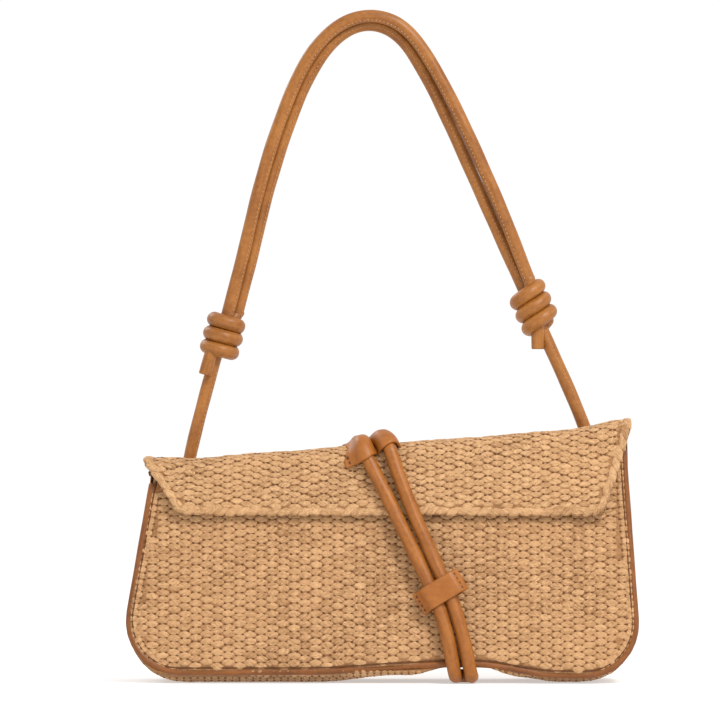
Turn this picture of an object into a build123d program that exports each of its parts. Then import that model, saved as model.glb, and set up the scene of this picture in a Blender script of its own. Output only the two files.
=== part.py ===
"""Woven straw shoulder bag with a fold-over flap, a corded closure and a knotted double strap.

Millimetres, +Z up, front of the bag towards -Y.  Each separate piece is one STEP file in parts/.
The bag is a wedge: its two faces lean together towards the top, and the flap's fold rises a few
degrees from left to right, so most of the cross-section is drawn square to the fold line.
"""

from build123d import *
import os
from math import atan, cos, degrees, pi, radians, sin, tan

# ---- driving dimensions --------------------------------------------------------------------------
HALF_DEPTH = 31.0          # half the depth of the base, at floor level
LEAN = radians(10)         # each face leans in by this much
FOLD_RISE = atan(0.075)    # the fold line climbs this much from left to right
FOLD_HEIGHT = 141.0        # top of the fold, measured square to the fold line
MOUTH_HEIGHT = 128.0       # top edge of the front face, measured the same way
STRAW = 3.0                # the woven straw with its backing
CLOTH = 0.8                # the lining cloth
LINING_DEPTH = STRAW + 0.3
PIPING = 3.9               # diameter of the leather piping
PIPING_DEPTH = 1.2         # the piping's centre, behind the outer face
FLAP_GAP = 1.4             # air between the front face and the flap's facing
FLAP_OUT = FLAP_GAP + CLOTH + STRAW
FLAP_LENGTH = 80.0         # straight part of the flap before it is cut to its outline
BACK_LENGTH = 170.0        # and of the back

LEATHER = 2.0              # thickness of the leather loops
STRAP_CORD = 7.6           # diameter of the strap's two rolled-leather cords
CLOSURE_CORD = 8.1         # diameter of the closure cord
TURN_FIT = 0.08            # radial clearance of the strap's ends in their tunnels
SLIDE_FIT = 0.25           # clearance of the knots and the keeper on their cords
BUTT_GAP = 0.3             # air between a cord and the moving piece that it meets

SHIFT = Vector(0, 4.4, 0)  # stands the finished bag with its box centred on the origin

# ---- outlines seen from the front, as (x, z) -------------------------------------------------------
SEAM = [(-135.9, 117), (-154.7, 6.8), (-35, 7.2), (36, 11.6), (62, 11.6), (97, 5.4), (152, 5), (143.3, 137)]
SEAM_RADII = [30, 200, 150, 80, 80, 30]
BELLY = [(-135.9, 117), (-156.5, 0), (-30, 0), (36, 9.3), (64, 9.3), (100, 0), (153.6, 0), (143.3, 137)]
BELLY_RADII = [34, 100, 60, 40, 40, 34]
BELLY_FLAT = 16            # half the width of the flat underside, front to back
BELLY_SLOPE = 0.45         # rise of the underside from that flat towards each seam
BACK_TOP = [(-134, 105), (-141, 130.6), (-141, 190), (148, 190), (148, 150), (143, 118)]
FLAP = [(-119, 98.8), (131, 98.8), (148, 150), (148, 190), (-141, 190), (-141, 130.6)]

# ---- small parts -------------------------------------------------------------------------------------
BINDING_PROUD = 0.8
BINDING_HEIGHT = 6
BINDING_INSET = 3
MAGNET = {"x": 2, "z": 112, "radius": 7, "proud": 0.5, "sink": 1.8, "stud": 2.6}
POCKET = {"width": 130, "height": 58, "low": 38, "corner": 8}
SLEEVE_LENGTH = 10
SLEEVE_WIDTH = 16.4
SLEEVE_OFFSET = {"left": -1.3, "right": 1.3}    # each sewn edge is wider on its outer side
KEEPER = {"across": 29, "along": 13, "front": 1.6, "back": 1.3}
TUNNEL_HEIGHT = 118        # the strap's turning axis, measured square to the fold
STRAP_Y = 16.7             # and its place behind the bag's middle
TUNNELS = {"left": (-106, -87), "right": (97, 116.5)}
TUNNEL_FLANGE = (-15, 9)   # how far the loop's sewn edge runs below and above the axis
STOP_LENGTH, STOP_RADIUS = 6, 6
KNOT = {"wrap": 4.6, "ring": 8.0, "pitch": 8.6, "half": 12.6, "tail": 12}

# ---- cords: the closure as (x, z, distance in front of the face), the strap as (x, y, z) -------------
CLOSURE_LEFT = [(-7.6, 129.9, 9.6), (1.8, 111.5, 10.0), (19.2, 76.3, 9.0), (36.9, 38.2, 7.9)]
CLOSURE_RIGHT = [(5.3, 135.6, 9.6), (12.9, 113.0, 10.0), (27.0, 79.9, 9.0), (44.7, 41.8, 7.9)]
CLOSURE_UNDER = [(43.2, -36.6, 4.45), (43.8, -23.6, 4.45), (53.4, -23.6, 4.45), (52.8, -36.6, 4.45)]
CLOSURE_UNDER_RADII = [7, 4.5, 4.5, 7]
CLOSURE_BEND = 40          # the cord bends this gently just below the keeper
KEEPER_AT = 0.664          # place of the keeper along the last straight run of the closure cord
STRAP_OUTER = [(-112, 16.7, 109.93), (-119.3, 16.7, 118.6), (-84.0, 13.7, 245), (-74.5, 13.7, 288),
               (-62, 13.7, 330), (-46.5, 13.7, 368), (-27.5, 13.7, 390.5), (-5.5, 13.7, 397.5),
               (15, 13.7, 389.5), (31.5, 13.7, 366), (49, 13.7, 331.5), (65, 13.7, 296),
               (79, 13.7, 262), (88.2, 13.7, 237.8)]
STRAP_INNER = [(122.8, 16.7, 127.54), (128.5, 16.7, 136.9), (76.4, 20.0, 252), (58.2, 20.0, 292.7),
               (42.4, 20.0, 328.5), (26, 20.0, 362.5), (11.3, 20.0, 385), (-6, 20.0, 392.3),
               (-24.6, 20.0, 386.4), (-41.8, 20.0, 364.5), (-56.8, 20.0, 328), (-68.9, 20.0, 288),
               (-77.2, 20.0, 252), (-86.3, 20.0, 217.8)]
KNOTS = {"left": (0.685, (-4.0, -7.4, 0)), "right": (0.748, (-8.4, 0, -2.0))}   # share of the run, tail

ACROSS = Vector(cos(FOLD_RISE), 0, sin(FOLD_RISE))      # along the fold, left to right
UP = Vector(-sin(FOLD_RISE), 0, cos(FOLD_RISE))         # square to it, in the front view
BACK = Vector(0, 1, 0)
FRONT_SIDE, BACK_SIDE = -1, 1
BIG = 500

# ---- the fold: a round that touches the outer face of the back and of the flap -----------------------
FOLD_Y = -FLAP_OUT / cos(LEAN) / 2
FOLD_CENTRE = (FOLD_HEIGHT - (HALF_DEPTH - FOLD_Y) * cos(LEAN)) / (1 - sin(LEAN))
FOLD_RADIUS = FOLD_HEIGHT - FOLD_CENTRE
FOLD_PLANE = Plane(UP * FOLD_CENTRE + BACK * FOLD_Y, x_dir=BACK, z_dir=ACROSS)
FOLD_TURN = 90 - degrees(LEAN)


# ---- helpers -------------------------------------------------------------------------------------------
def inward(side):
    """Unit vector into the bag, square to its front or back face."""
    return BACK * (-side * cos(LEAN)) - UP * sin(LEAN)


def face_plane(side, depth=0.0):
    """Plane parallel to one outer face, that far inside it."""
    origin = BACK * (side * HALF_DEPTH) + inward(side) * depth
    return Plane(origin, x_dir=ACROSS, z_dir=inward(side) * side)


def slab(side, start, thick):
    """A wide sheet parallel to one face, starting that far inside it."""
    return extrude(face_plane(side, start) * Rectangle(BIG, BIG), amount=thick, dir=inward(side))


def prism(outline):
    """A front-view outline, drawn out front to back."""
    return extrude(Plane.XZ * make_face(outline), amount=100, both=True)


def height_of(x, z):
    """Height of a point measured square to the fold."""
    return z * cos(FOLD_RISE) - x * sin(FOLD_RISE)


def z_at(x, height):
    """World z of the point at x with that height."""
    return (height + x * sin(FOLD_RISE)) / cos(FOLD_RISE)


def face_y(side, x, z, depth=0.0):
    """y of one face at a point of the front view, or of a surface that far inside it."""
    return side * (HALF_DEPTH - height_of(x, z) * tan(LEAN) - depth / cos(LEAN))


def front_point(x, z, standoff):
    """A point in front of the front face, at that distance from it."""
    return Vector(x, face_y(FRONT_SIDE, x, z, -standoff), z)


def bag_outline(points, radii, inset=0.0, top=MOUTH_HEIGHT):
    """Closed outline of the bag with rounded lower corners, moved in from its edge."""
    (left, left_z), (low_left, foot_left), *middle, (low_right, foot_right), (right, right_z) = points
    slope_left = (left - low_left) / (left_z - foot_left)
    slope_right = (right - low_right) / (right_z - foot_right)
    top_z_left, top_z_right = z_at(left, top), z_at(right, top)
    top_left = (low_left + inset + slope_left * (top_z_left - foot_left), top_z_left)
    top_right = (low_right - inset + slope_right * (top_z_right - foot_right), top_z_right)
    lower = [(low_left + inset, foot_left + inset), *[(x, z + inset) for x, z in middle],
             (low_right - inset, foot_right + inset)]
    chain = FilletPolyline(top_left, *lower, top_right, radius=[r - inset for r in radii])
    return [chain, Line(top_right, top_left)]


def turn_radii(route, share=0.45):
    """The largest arc that each corner's two runs allow."""
    radii = []
    for before, corner, after in zip(route, route[1:], route[2:]):
        first = Vector(corner) - Vector(before)
        second = Vector(after) - Vector(corner)
        half_turn = radians(first.get_angle(second)) / 2
        radii.append(share * min(first.length, second.length) / tan(half_turn))
    return radii


def tube(route, diameter, radii):
    """A round cord along straight runs joined by tangent arcs."""
    path = FilletPolyline(*route, radius=radii)
    section = Plane(origin=path @ 0, z_dir=path % 0) * Circle(diameter / 2)
    return sweep(section, path=path), path.length


def cord(name, route, diameter, radii):
    """A cord, with its radii and its volume against section times length printed."""
    solid, length = tube(route, diameter, radii)
    ratio = solid.volume / (pi * diameter**2 / 4 * length)
    print(f"{name}: length {length:.1f}, volume ratio {ratio:.4f}, radii", [round(r, 1) for r in radii])
    return solid


def rod(start, end, radius):
    """A straight round bar between two points."""
    return extrude(Plane(start, z_dir=end - start) * Circle(radius), amount=(end - start).length)


def folded(outer, inner, turn, tail):
    """Part of a ring from the top of the fold, running on as a straight sheet, along the whole fold."""
    arc_out = CenterArc((0, 0), outer, 90, turn)
    arc_in = CenterArc((0, 0), inner, 90, turn)
    end_out = arc_out @ 1 + (arc_out % 1) * tail
    end_in = arc_in @ 1 + (arc_in % 1) * tail
    edges = [arc_out, Line(arc_out @ 1, end_out), Line(end_out, end_in), Line(end_in, arc_in @ 1),
             arc_in, Line(arc_in @ 0, arc_out @ 0)]
    return extrude(FOLD_PLANE * make_face(edges), amount=BIG / 2, both=True)


def belly(inset=0.0):
    """Everything above the sloping underside, drawn from the side."""
    half = BELLY_FLAT - inset * 0.35
    wide, tall = 60, 220
    rise = inset + BELLY_SLOPE * (wide - half)
    outline = Polyline((-half, inset), (half, inset), (wide, rise), (wide, tall), (-wide, tall),
                       (-wide, rise), close=True)
    return extrude(Plane.YZ * make_face(outline), amount=BIG / 2, both=True)


def above(height):
    """Everything higher than that, measured square to the fold."""
    return extrude(Plane(UP * height, x_dir=ACROSS, z_dir=UP) * Rectangle(BIG, BIG), amount=200)


# ---- bag body --------------------------------------------------------------------------------------------
def piping(side):
    """Leather-covered cord sewn into the seam round one face."""
    points = [Vector(x, face_y(side, x, z, PIPING_DEPTH), z) for x, z in SEAM]
    return tube(points, PIPING, SEAM_RADII)[0]


def side_band(depth, inset, thick):
    """The band between the two faces, down one side, along the bottom and up the other."""
    outside = prism(bag_outline(BELLY, BELLY_RADII, inset)) & belly(inset)
    between = slab(FRONT_SIDE, depth, 200) & slab(BACK_SIDE, depth, 200)
    hollow = prism(bag_outline(BELLY, BELLY_RADII, inset + thick, MOUTH_HEIGHT + 20))
    return (outside & between) - (hollow & belly(inset + thick))


def magnet(start, stop):
    """A disc square to the front face, between two depths behind it."""
    centre = front_point(MAGNET["x"], MAGNET["z"], 0) + inward(FRONT_SIDE) * start
    disc = Plane(centre, z_dir=inward(FRONT_SIDE)) * Circle(MAGNET["radius"])
    return extrude(disc, amount=stop - start)


def mouth_binding(front_panel):
    """Leather folded over the front face's top edge."""
    top = MOUTH_HEIGHT + BINDING_PROUD
    band = slab(FRONT_SIDE, -BINDING_PROUD, STRAW + 2 * BINDING_PROUD)
    band = band & prism(bag_outline(SEAM, SEAM_RADII, BINDING_INSET, top))
    return (band & above(MOUTH_HEIGHT - BINDING_HEIGHT)) - front_panel


def slip_pocket():
    """A flat cloth pocket sewn on the back lining."""
    outline = Pos(0, POCKET["low"] + POCKET["height"] / 2) * RectangleRounded(
        POCKET["width"], POCKET["height"], POCKET["corner"])
    plane = face_plane(BACK_SIDE, LINING_DEPTH + CLOTH)
    return extrude(plane * outline, amount=CLOTH, dir=inward(BACK_SIDE))


def build_body():
    front_piping, back_piping = piping(FRONT_SIDE), piping(BACK_SIDE)
    seam = prism(bag_outline(SEAM, SEAM_RADII))
    front_panel = (slab(FRONT_SIDE, 0, STRAW) & seam) - front_piping
    front_panel -= magnet(-FLAP_GAP, MAGNET["sink"])
    back_panel = folded(FOLD_RADIUS, FOLD_RADIUS - STRAW, -FOLD_TURN, BACK_LENGTH)
    back_panel = back_panel & (seam + prism([Polyline(*BACK_TOP, close=True)]))
    binding = mouth_binding(front_panel)
    lining = prism(bag_outline(BELLY, BELLY_RADII, LINING_DEPTH, MOUTH_HEIGHT - 2)) & belly(LINING_DEPTH)
    lining_front = (slab(FRONT_SIDE, LINING_DEPTH, CLOTH) & lining) - binding
    return {
        "front_panel": front_panel,
        "back_panel": back_panel - back_piping,
        "gusset": side_band(STRAW, 0, STRAW) - front_piping - back_piping,
        "front_piping": front_piping,
        "back_piping": back_piping,
        "mouth_binding": binding,
        "snap_socket": magnet(-MAGNET["proud"], MAGNET["sink"]),
        "lining_front": lining_front,
        "lining_back": slab(BACK_SIDE, LINING_DEPTH, CLOTH) & lining,
        "lining_gusset": side_band(LINING_DEPTH + CLOTH, LINING_DEPTH, CLOTH) - binding,
        "slip_pocket": slip_pocket(),
        "strap_tunnel_left": strap_tunnel("left"),
        "strap_tunnel_right": strap_tunnel("right"),
    }


# ---- strap -------------------------------------------------------------------------------------------------
def axis_point(x):
    """The point at x on the line that the strap turns about."""
    return Vector(x, STRAP_Y, z_at(x, TUNNEL_HEIGHT))


def strap_tunnel(side):
    """A leather loop sewn to the back, with the strap's end through it."""
    start, end = (axis_point(x) for x in TUNNELS[side])
    outward = -inward(BACK_SIDE)
    to_face = (STRAP_Y - face_y(BACK_SIDE, start.X, start.Z)) * cos(LEAN)
    bore = STRAP_CORD / 2 + TURN_FIT
    low, high = TUNNEL_FLANGE
    plane = Plane(start, x_dir=outward, z_dir=ACROSS)
    flange = Pos(LEATHER / 2 - to_face, (low + high) / 2) * Rectangle(LEATHER, high - low)
    root = Pos(-to_face / 2, 0) * Rectangle(to_face, 2 * (bore + LEATHER))
    section = Circle(bore + LEATHER) + flange + root - Circle(bore)
    return extrude(plane * section, amount=(end - start).length)


def strap_cords():
    """The two cords, each from its end in a tunnel, through one knot and over to the other."""
    ends = {"left": axis_point(TUNNELS["left"][1] + 1), "right": axis_point(TUNNELS["right"][0] - 1)}
    parts = {}
    for side, name, route in (("left", "strap_cord_outer", STRAP_OUTER),
                              ("right", "strap_cord_inner", STRAP_INNER)):
        points = [ends[side], *route]
        parts[name] = cord(name, points, STRAP_CORD, turn_radii(points))
        away = (ends[side] - axis_point(route[0][0])).normalized()
        parts[f"strap_stop_{side}"] = rod(ends[side], ends[side] + away * STOP_LENGTH, STOP_RADIUS)
    return parts


def knot(side, route):
    """Three turns of cord round the straight part of the other cord, with the cut end hanging out."""
    share, tail_offset = KNOTS[side]
    low, high = Vector(route[1]), Vector(route[2])
    along = (high - low).normalized()
    centre = low + (high - low) * share
    bore = STRAP_CORD / 2 + SLIDE_FIT
    wraps = Rectangle(KNOT["ring"] - bore, 2 * KNOT["half"], align=(Align.MIN, Align.CENTER))
    section = Pos(bore, 0) * wraps
    for turn in (-1, 0, 1):
        section += Pos(KNOT["ring"], turn * KNOT["pitch"]) * Circle(KNOT["wrap"])
    section -= Pos(bore, 0) * Rectangle(BIG, BIG, align=(Align.MAX, Align.CENTER))
    plane = Plane(centre, x_dir=along.cross(BACK), z_dir=along.cross(along.cross(BACK)))
    body = revolve(plane * section, axis=Axis(centre, along))
    tail_top = centre + Vector(*tail_offset) - along * (KNOT["half"] - 4)
    tail = rod(tail_top - along * KNOT["tail"], tail_top, STRAP_CORD / 2)
    clear = rod(low, high, bore)
    return body + (tail - clear)


# ---- flap ------------------------------------------------------------------------------------------------------
def build_flap():
    outline = prism([Polyline(*FLAP, close=True)])
    stud = magnet(-MAGNET["proud"] - BUTT_GAP - MAGNET["stud"], -MAGNET["proud"] - BUTT_GAP)
    straw = folded(FOLD_RADIUS, FOLD_RADIUS - STRAW, FOLD_TURN, FLAP_LENGTH) & outline
    facing = folded(FOLD_RADIUS - STRAW, FOLD_RADIUS - STRAW - CLOTH, FOLD_TURN, FLAP_LENGTH) & outline
    parts = {"flap_panel": straw - stud, "flap_facing": facing - stud, "snap_stud": stud}
    for side, route in (("left", CLOSURE_LEFT), ("right", CLOSURE_RIGHT)):
        sleeve, stub = cord_sleeve(route, SLEEVE_OFFSET[side])
        parts[f"cord_sleeve_{side}"] = sleeve - straw
        parts[f"cord_end_{side}"] = stub - straw
    return parts


def cord_sleeve(route, offset):
    """A leather loop sewn over one end of the closure cord, and the end inside it."""
    mouth, below = (front_point(*point) for point in route[:2])
    along = (mouth - below).normalized()
    radius = CLOSURE_CORD / 2
    start = mouth + along * (radius + BUTT_GAP)
    plane = Plane(start, x_dir=along.cross(inward(FRONT_SIDE)), z_dir=along)
    foot = 0.15 - route[0][2] + FLAP_OUT + radius
    outer = offset if plane.x_dir.X > 0 else -offset
    flange = Pos(outer, -radius + LEATHER / 2) * Rectangle(SLEEVE_WIDTH, LEATHER)
    kept = Pos(0, foot - radius) * Rectangle(BIG, BIG, align=(Align.CENTER, Align.MIN))
    section = ((Circle(radius + LEATHER) + flange) & kept) - Circle(radius)
    sleeve = extrude(plane * section, amount=SLEEVE_LENGTH)
    return sleeve, rod(start, start + along * SLEEVE_LENGTH, radius)


# ---- closure cord and its keeper ----------------------------------------------------------------------------------
def closure_cord():
    """One cord: down the front, round under the base and back up beside itself."""
    left = [front_point(*point) for point in CLOSURE_LEFT]
    right = [front_point(*point) for point in reversed(CLOSURE_RIGHT)]
    under = [Vector(*point) for point in CLOSURE_UNDER]
    down = [*turn_radii(left), CLOSURE_BEND]
    up = [CLOSURE_BEND, *turn_radii(right)]
    body = cord("closure_cord", [*left, *under, *right], CLOSURE_CORD, [*down, *CLOSURE_UNDER_RADII, *up])
    for top in (left[0], right[-1]):
        body += Pos(top) * Sphere(CLOSURE_CORD / 2)
    return body


def build_keeper():
    """Two leather strips sewn together at both ends, round both runs of the closure cord."""
    left = [front_point(*point) for point in CLOSURE_LEFT[2:]]
    right = [front_point(*point) for point in CLOSURE_RIGHT[2:]]
    along = (left[0] - left[1]).normalized()
    half_pitch = (right[0] - left[0]).length / 2
    centre = left[0] + (left[1] - left[0]) * KEEPER_AT + (right[0] - left[0]) / 2
    centre = centre - along * (KEEPER["along"] / 2)
    inner = CLOSURE_CORD / 2 + SLIDE_FIT
    plane = Plane(centre, x_dir=right[0] - left[0], z_dir=along)
    outward = 1 if (plane.y_dir.Y < 0) else -1
    hollow = RectangleRounded(2 * (half_pitch + inner), 2 * inner, inner - 0.05)
    cover = RectangleRounded(2 * (half_pitch + inner + KEEPER["front"]), 2 * (inner + KEEPER["front"]), inner)
    ends = Pos(0, outward * (KEEPER["front"] / 2 - inner)) * Rectangle(KEEPER["across"], KEEPER["front"])
    kept = Pos(0, outward * (BIG / 2 - inner)) * Rectangle(BIG, BIG)
    front = ((cover + ends) & kept) - hollow
    back = Pos(0, -outward * (inner + KEEPER["back"] / 2)) * Rectangle(KEEPER["across"], KEEPER["back"])
    return {
        "keeper_front": extrude(plane * front, amount=KEEPER["along"]),
        "keeper_back": extrude(plane * back, amount=KEEPER["along"]),
    }


def main():
    parts = {**build_body(), **build_flap(), "closure_cord": closure_cord(), **build_keeper(), **strap_cords()}
    parts["knot_left"] = knot("left", STRAP_OUTER)
    parts["knot_right"] = knot("right", STRAP_INNER)
    os.makedirs("parts", exist_ok=True)
    for name, shape in parts.items():
        export_step(Pos(SHIFT) * shape, f"parts/{name}.step")


main()
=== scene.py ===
"""Looks of the woven straw shoulder bag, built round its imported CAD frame.

Metres throughout, front of the bag towards -Y.  The straw is made of single stitches laid on the
bag's faces, and the leather cords follow the same routes as their CAD solids.
"""

from itertools import product
from math import atan, cos, pi, radians, sin, tan

import bmesh
import bpy
import numpy as np
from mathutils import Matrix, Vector


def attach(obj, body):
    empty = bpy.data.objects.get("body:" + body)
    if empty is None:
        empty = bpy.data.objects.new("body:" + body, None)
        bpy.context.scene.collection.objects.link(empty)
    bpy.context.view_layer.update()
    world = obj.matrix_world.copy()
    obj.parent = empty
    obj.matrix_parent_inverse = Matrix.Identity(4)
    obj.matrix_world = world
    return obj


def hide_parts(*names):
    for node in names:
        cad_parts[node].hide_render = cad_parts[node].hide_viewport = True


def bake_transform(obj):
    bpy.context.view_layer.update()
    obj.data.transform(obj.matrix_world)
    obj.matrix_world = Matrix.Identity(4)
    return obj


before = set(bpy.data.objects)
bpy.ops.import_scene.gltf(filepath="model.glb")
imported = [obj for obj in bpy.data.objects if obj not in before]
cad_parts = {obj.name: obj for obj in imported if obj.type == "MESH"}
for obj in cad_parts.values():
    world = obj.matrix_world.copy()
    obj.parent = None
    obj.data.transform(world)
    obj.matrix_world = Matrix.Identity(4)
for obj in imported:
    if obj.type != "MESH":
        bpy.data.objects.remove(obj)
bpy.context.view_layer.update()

# ---- the bag's driving dimensions, as in its CAD ----
SHIFT_Y = 0.0044  # stands the bag with its box centred on the origin
HALF_DEPTH = 0.031
LEAN = radians(10)
FOLD_RISE = atan(0.075)
FOLD_HEIGHT = 0.141
MOUTH_HEIGHT = 0.128
STRAW = 0.003
CLOTH = 0.0008
LINING_DEPTH = STRAW + 0.0003
PIPING = 0.0039
PIPING_DEPTH = 0.0012
FLAP_GAP = 0.0014
FLAP_OUT = FLAP_GAP + CLOTH + STRAW
LEATHER = 0.002
STRAP_CORD = 0.0076
CLOSURE_CORD = 0.0081
FRONT, REAR = -1, 1

SEAM = [(-.1359, .117), (-.1547, .0068), (-.035, .0072), (.036, .0116), (.062, .0116), (.097, .0054),
        (.152, .005), (.1433, .137)]
SEAM_RADII = [.030, .200, .150, .080, .080, .030]
BELLY = [(-.1359, .117), (-.1565, 0), (-.030, 0), (.036, .0093), (.064, .0093), (.100, 0),
         (.1536, 0), (.1433, .137)]
BELLY_RADII = [.034, .100, .060, .040, .040, .034]
BELLY_FLAT, BELLY_SLOPE = 0.016, 0.45

# ---- cord routes ----
# the closure's two runs as (x, z, distance in front of the face), the rest as (x, y, z)
CLOSURE_LEFT = [(-.0076, .1299, .0096), (.0018, .1115, .0100), (.0192, .0763, .0090), (.0369, .0382, .0079)]
CLOSURE_RIGHT = [(.0053, .1356, .0096), (.0129, .1130, .0100), (.0270, .0799, .0090), (.0447, .0418, .0079)]
CLOSURE_UNDER = [(.0432, -.0366, .00445), (.0438, -.0236, .00445), (.0534, -.0236, .00445),
                 (.0528, -.0366, .00445)]
STRAP_OUTER = [(-.112, .0167, .10993), (-.1193, .0167, .1186), (-.084, .0137, .245), (-.0745, .0137, .288),
               (-.062, .0137, .330), (-.0465, .0137, .368), (-.0275, .0137, .3905), (-.0055, .0137, .3975),
               (.015, .0137, .3895), (.0315, .0137, .366), (.049, .0137, .3315), (.065, .0137, .296),
               (.079, .0137, .262), (.0882, .0137, .2378)]
STRAP_INNER = [(.1228, .0167, .12754), (.1285, .0167, .1369), (.0764, .020, .252), (.0582, .020, .2927),
               (.0424, .020, .3285), (.026, .020, .3625), (.0113, .020, .385), (-.006, .020, .3923),
               (-.0246, .020, .3864), (-.0418, .020, .3645), (-.0568, .020, .328), (-.0689, .020, .288),
               (-.0772, .020, .252), (-.0863, .020, .2178)]
TUNNEL_HEIGHT, STRAP_Y = 0.118, 0.0167
TUNNELS = {"left": (-.106, -.087), "right": (.097, .1165)}

SIN_R, COS_R = sin(FOLD_RISE), cos(FOLD_RISE)
SIN_L, COS_L, TAN_L = sin(LEAN), cos(LEAN), tan(LEAN)
ACROSS = np.array([COS_R, 0, SIN_R])
UP = np.array([-SIN_R, 0, COS_R])
BACK = np.array([0, 1.0, 0])

# ---- the fold ----
FOLD_Y = -FLAP_OUT / COS_L / 2
FOLD_CENTRE = (FOLD_HEIGHT - (HALF_DEPTH - FOLD_Y) * COS_L) / (1 - SIN_L)
FOLD_RADIUS = FOLD_HEIGHT - FOLD_CENTRE
FOLD_TURN = pi / 2 - LEAN
FOLD_ARC = FOLD_RADIUS * FOLD_TURN
FOLD_FOOT = FOLD_CENTRE + FOLD_RADIUS * cos(FOLD_TURN)  # height where the round meets the straight
FLAT_TOP = FOLD_FOOT + FOLD_ARC * sin(FOLD_TURN)  # height of the fold's top, laid flat


# ---- surfaces, each of which takes flat x and z and a distance out from the face ----
def height(x, z):
    """Height measured square to the fold."""
    return z * COS_R - x * SIN_R


def z_at(x, h):
    """z of the point at x with that height."""
    return (h + x * SIN_R) / COS_R


def outward(side):
    """The direction that a face looks in."""
    return UP * SIN_L + BACK * (side * COS_L)


def face(side, x, z, out):
    """The front or back face."""
    x, z, out = np.broadcast_arrays(x, z, out)
    y = side * (HALF_DEPTH - height(x, z) * TAN_L) + SHIFT_Y
    return np.stack([x, y, z], -1) + out[..., None] * outward(side)


def ease(t):
    """A smooth step from 0 to 1."""
    t = np.clip(t, 0, 1)
    return t * t * (3 - 2 * t)


def unit(vectors):
    """The same directions at length one."""
    return vectors / np.linalg.norm(vectors, axis=-1, keepdims=True)


def headings(line):
    """The direction of a line at each of its points."""
    return unit(np.gradient(line, axis=0))


def run_along(line):
    """Distance along a line at each of its points."""
    return np.concatenate([[0], np.cumsum(np.linalg.norm(np.diff(line, axis=0), axis=1))])


FOLD_SAG, FOLD_FADE = .0013, .020
FOLD_ENDS = .105  # the ends begin to rise this far from the middle
FOLD_RIGHT, FOLD_LEFT = (.0038, .042), (.0022, .035)  # rise of each end, and the run that it takes


def fold_lift(x, past):
    """The fold sags a little along its middle and stands up at both ends."""
    ends = sum(rise * ease((to * x - FOLD_ENDS) / run)
               for to, (rise, run) in ((1, FOLD_RIGHT), (-1, FOLD_LEFT)))
    return (ends - FOLD_SAG) * np.exp(-(past / FOLD_FADE) ** 2)


def over_fold(side, x, z, out):
    """The outer face of the back or of the flap, carried on round the fold."""
    x, z, out = np.broadcast_arrays(x, z, out)
    past = (FLAT_TOP - height(x, z)) / sin(FOLD_TURN)          # run of the sheet from the fold's top
    turn = np.clip(past / FOLD_RADIUS, -FOLD_TURN, FOLD_TURN)
    run = np.clip(past - FOLD_ARC, 0, None)
    reach = FOLD_RADIUS + out
    y = FOLD_Y + side * (reach * np.sin(turn) + run * cos(FOLD_TURN)) + SHIFT_Y
    h = FOLD_CENTRE + reach * np.cos(turn) - run * sin(FOLD_TURN) + fold_lift(x, past)
    along = x * COS_R + z * SIN_R
    return along[..., None] * ACROSS + h[..., None] * UP + y[..., None] * BACK


SWELL_BROAD, SWELL_SLANTED = .0005, .0004  # heights of the two waves
BACK_SWELL, FLAP_SWELL = .6, .5  # share of them on the back and on the flap


def swell(x, z):
    """Slow unevenness of the straw faces, in waves of so many radians to the metre."""
    broad = SWELL_BROAD * np.sin(x * 61 + 1.3) * np.sin(z * 83 + .4)
    return broad + SWELL_SLANTED * np.sin(x * 118 - z * 70 + 2.0)


def front_face(x, z, out):
    return face(FRONT, x, z, out + swell(x, z))


def back_face(x, z, out):
    return over_fold(REAR, x, z, out + BACK_SWELL * swell(x, z))


FLAP_FREE, FLAP_FREE_RUN = .125, .027  # the flap comes free below this z, over this run
RIGHT_CORNER, LEFT_CORNER = (.0012, .100, .030), (.0016, .085, .035)  # rise, place from the middle, run
FLAP_WAVE = .0005


def flap_lift(x, z):
    """The flap's free corners and its edge stand off the bag a little."""
    low = ease((FLAP_FREE - z) / FLAP_FREE_RUN)
    corners = sum(rise * ease((to * x - place) / run)
                  for to, (rise, place, run) in ((-1, LEFT_CORNER), (1, RIGHT_CORNER)))
    return low * (corners + FLAP_WAVE * np.sin(x * 55 + .8))


def flap_face(x, z, out):
    return over_fold(FRONT, x, z, out + flap_lift(x, z) + FLAP_SWELL * swell(x, z))


# ---- outlines ----
ARC_STEPS = 8


def rounded(points, radii):
    """An open run of points with its inner corners rounded."""
    points = [np.array(p, float) for p in points]
    line = [points[0]]
    for before, corner, after, radius in zip(points, points[1:], points[2:], radii):
        first, second = unit(before - corner), unit(after - corner)
        half = np.arccos(np.clip(first @ second, -1, 1)) / 2
        reach = radius / tan(half)
        centre = corner + unit(first + second) * radius / sin(half)
        start, end = corner + first * reach - centre, corner + second * reach - centre
        sweep = pi - 2 * half
        for step in range(ARC_STEPS + 1):
            share = step / ARC_STEPS
            turned = np.sin((1 - share) * sweep) * start + np.sin(share * sweep) * end
            line.append(centre + turned / sin(sweep))
    line.append(points[-1])
    return np.array(line)


def extended(points, top):
    """The bag's outline with both of its sides carried up to that height."""
    (left, left_z), (low_left, foot_left), *_, (low_right, foot_right), (right, right_z) = points
    slope_left = (left - low_left) / (left_z - foot_left)
    slope_right = (right - low_right) / (right_z - foot_right)
    top_left, top_right = z_at(left, top), z_at(right, top)
    return [(low_left + slope_left * (top_left - foot_left), top_left), *points[1:-1],
            (low_right + slope_right * (top_right - foot_right), top_right)]


def resample(line, spacing):
    """Points at equal spacing along a line."""
    line = np.array(line, float)
    run = run_along(line)
    count = max(2, int(round(run[-1] / spacing)) + 1)
    at = np.linspace(0, run[-1], count)
    return np.stack([np.interp(at, run, line[:, i]) for i in range(line.shape[1])], -1)


TINY = 1e-15  # keeps a division by zero away


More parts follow.
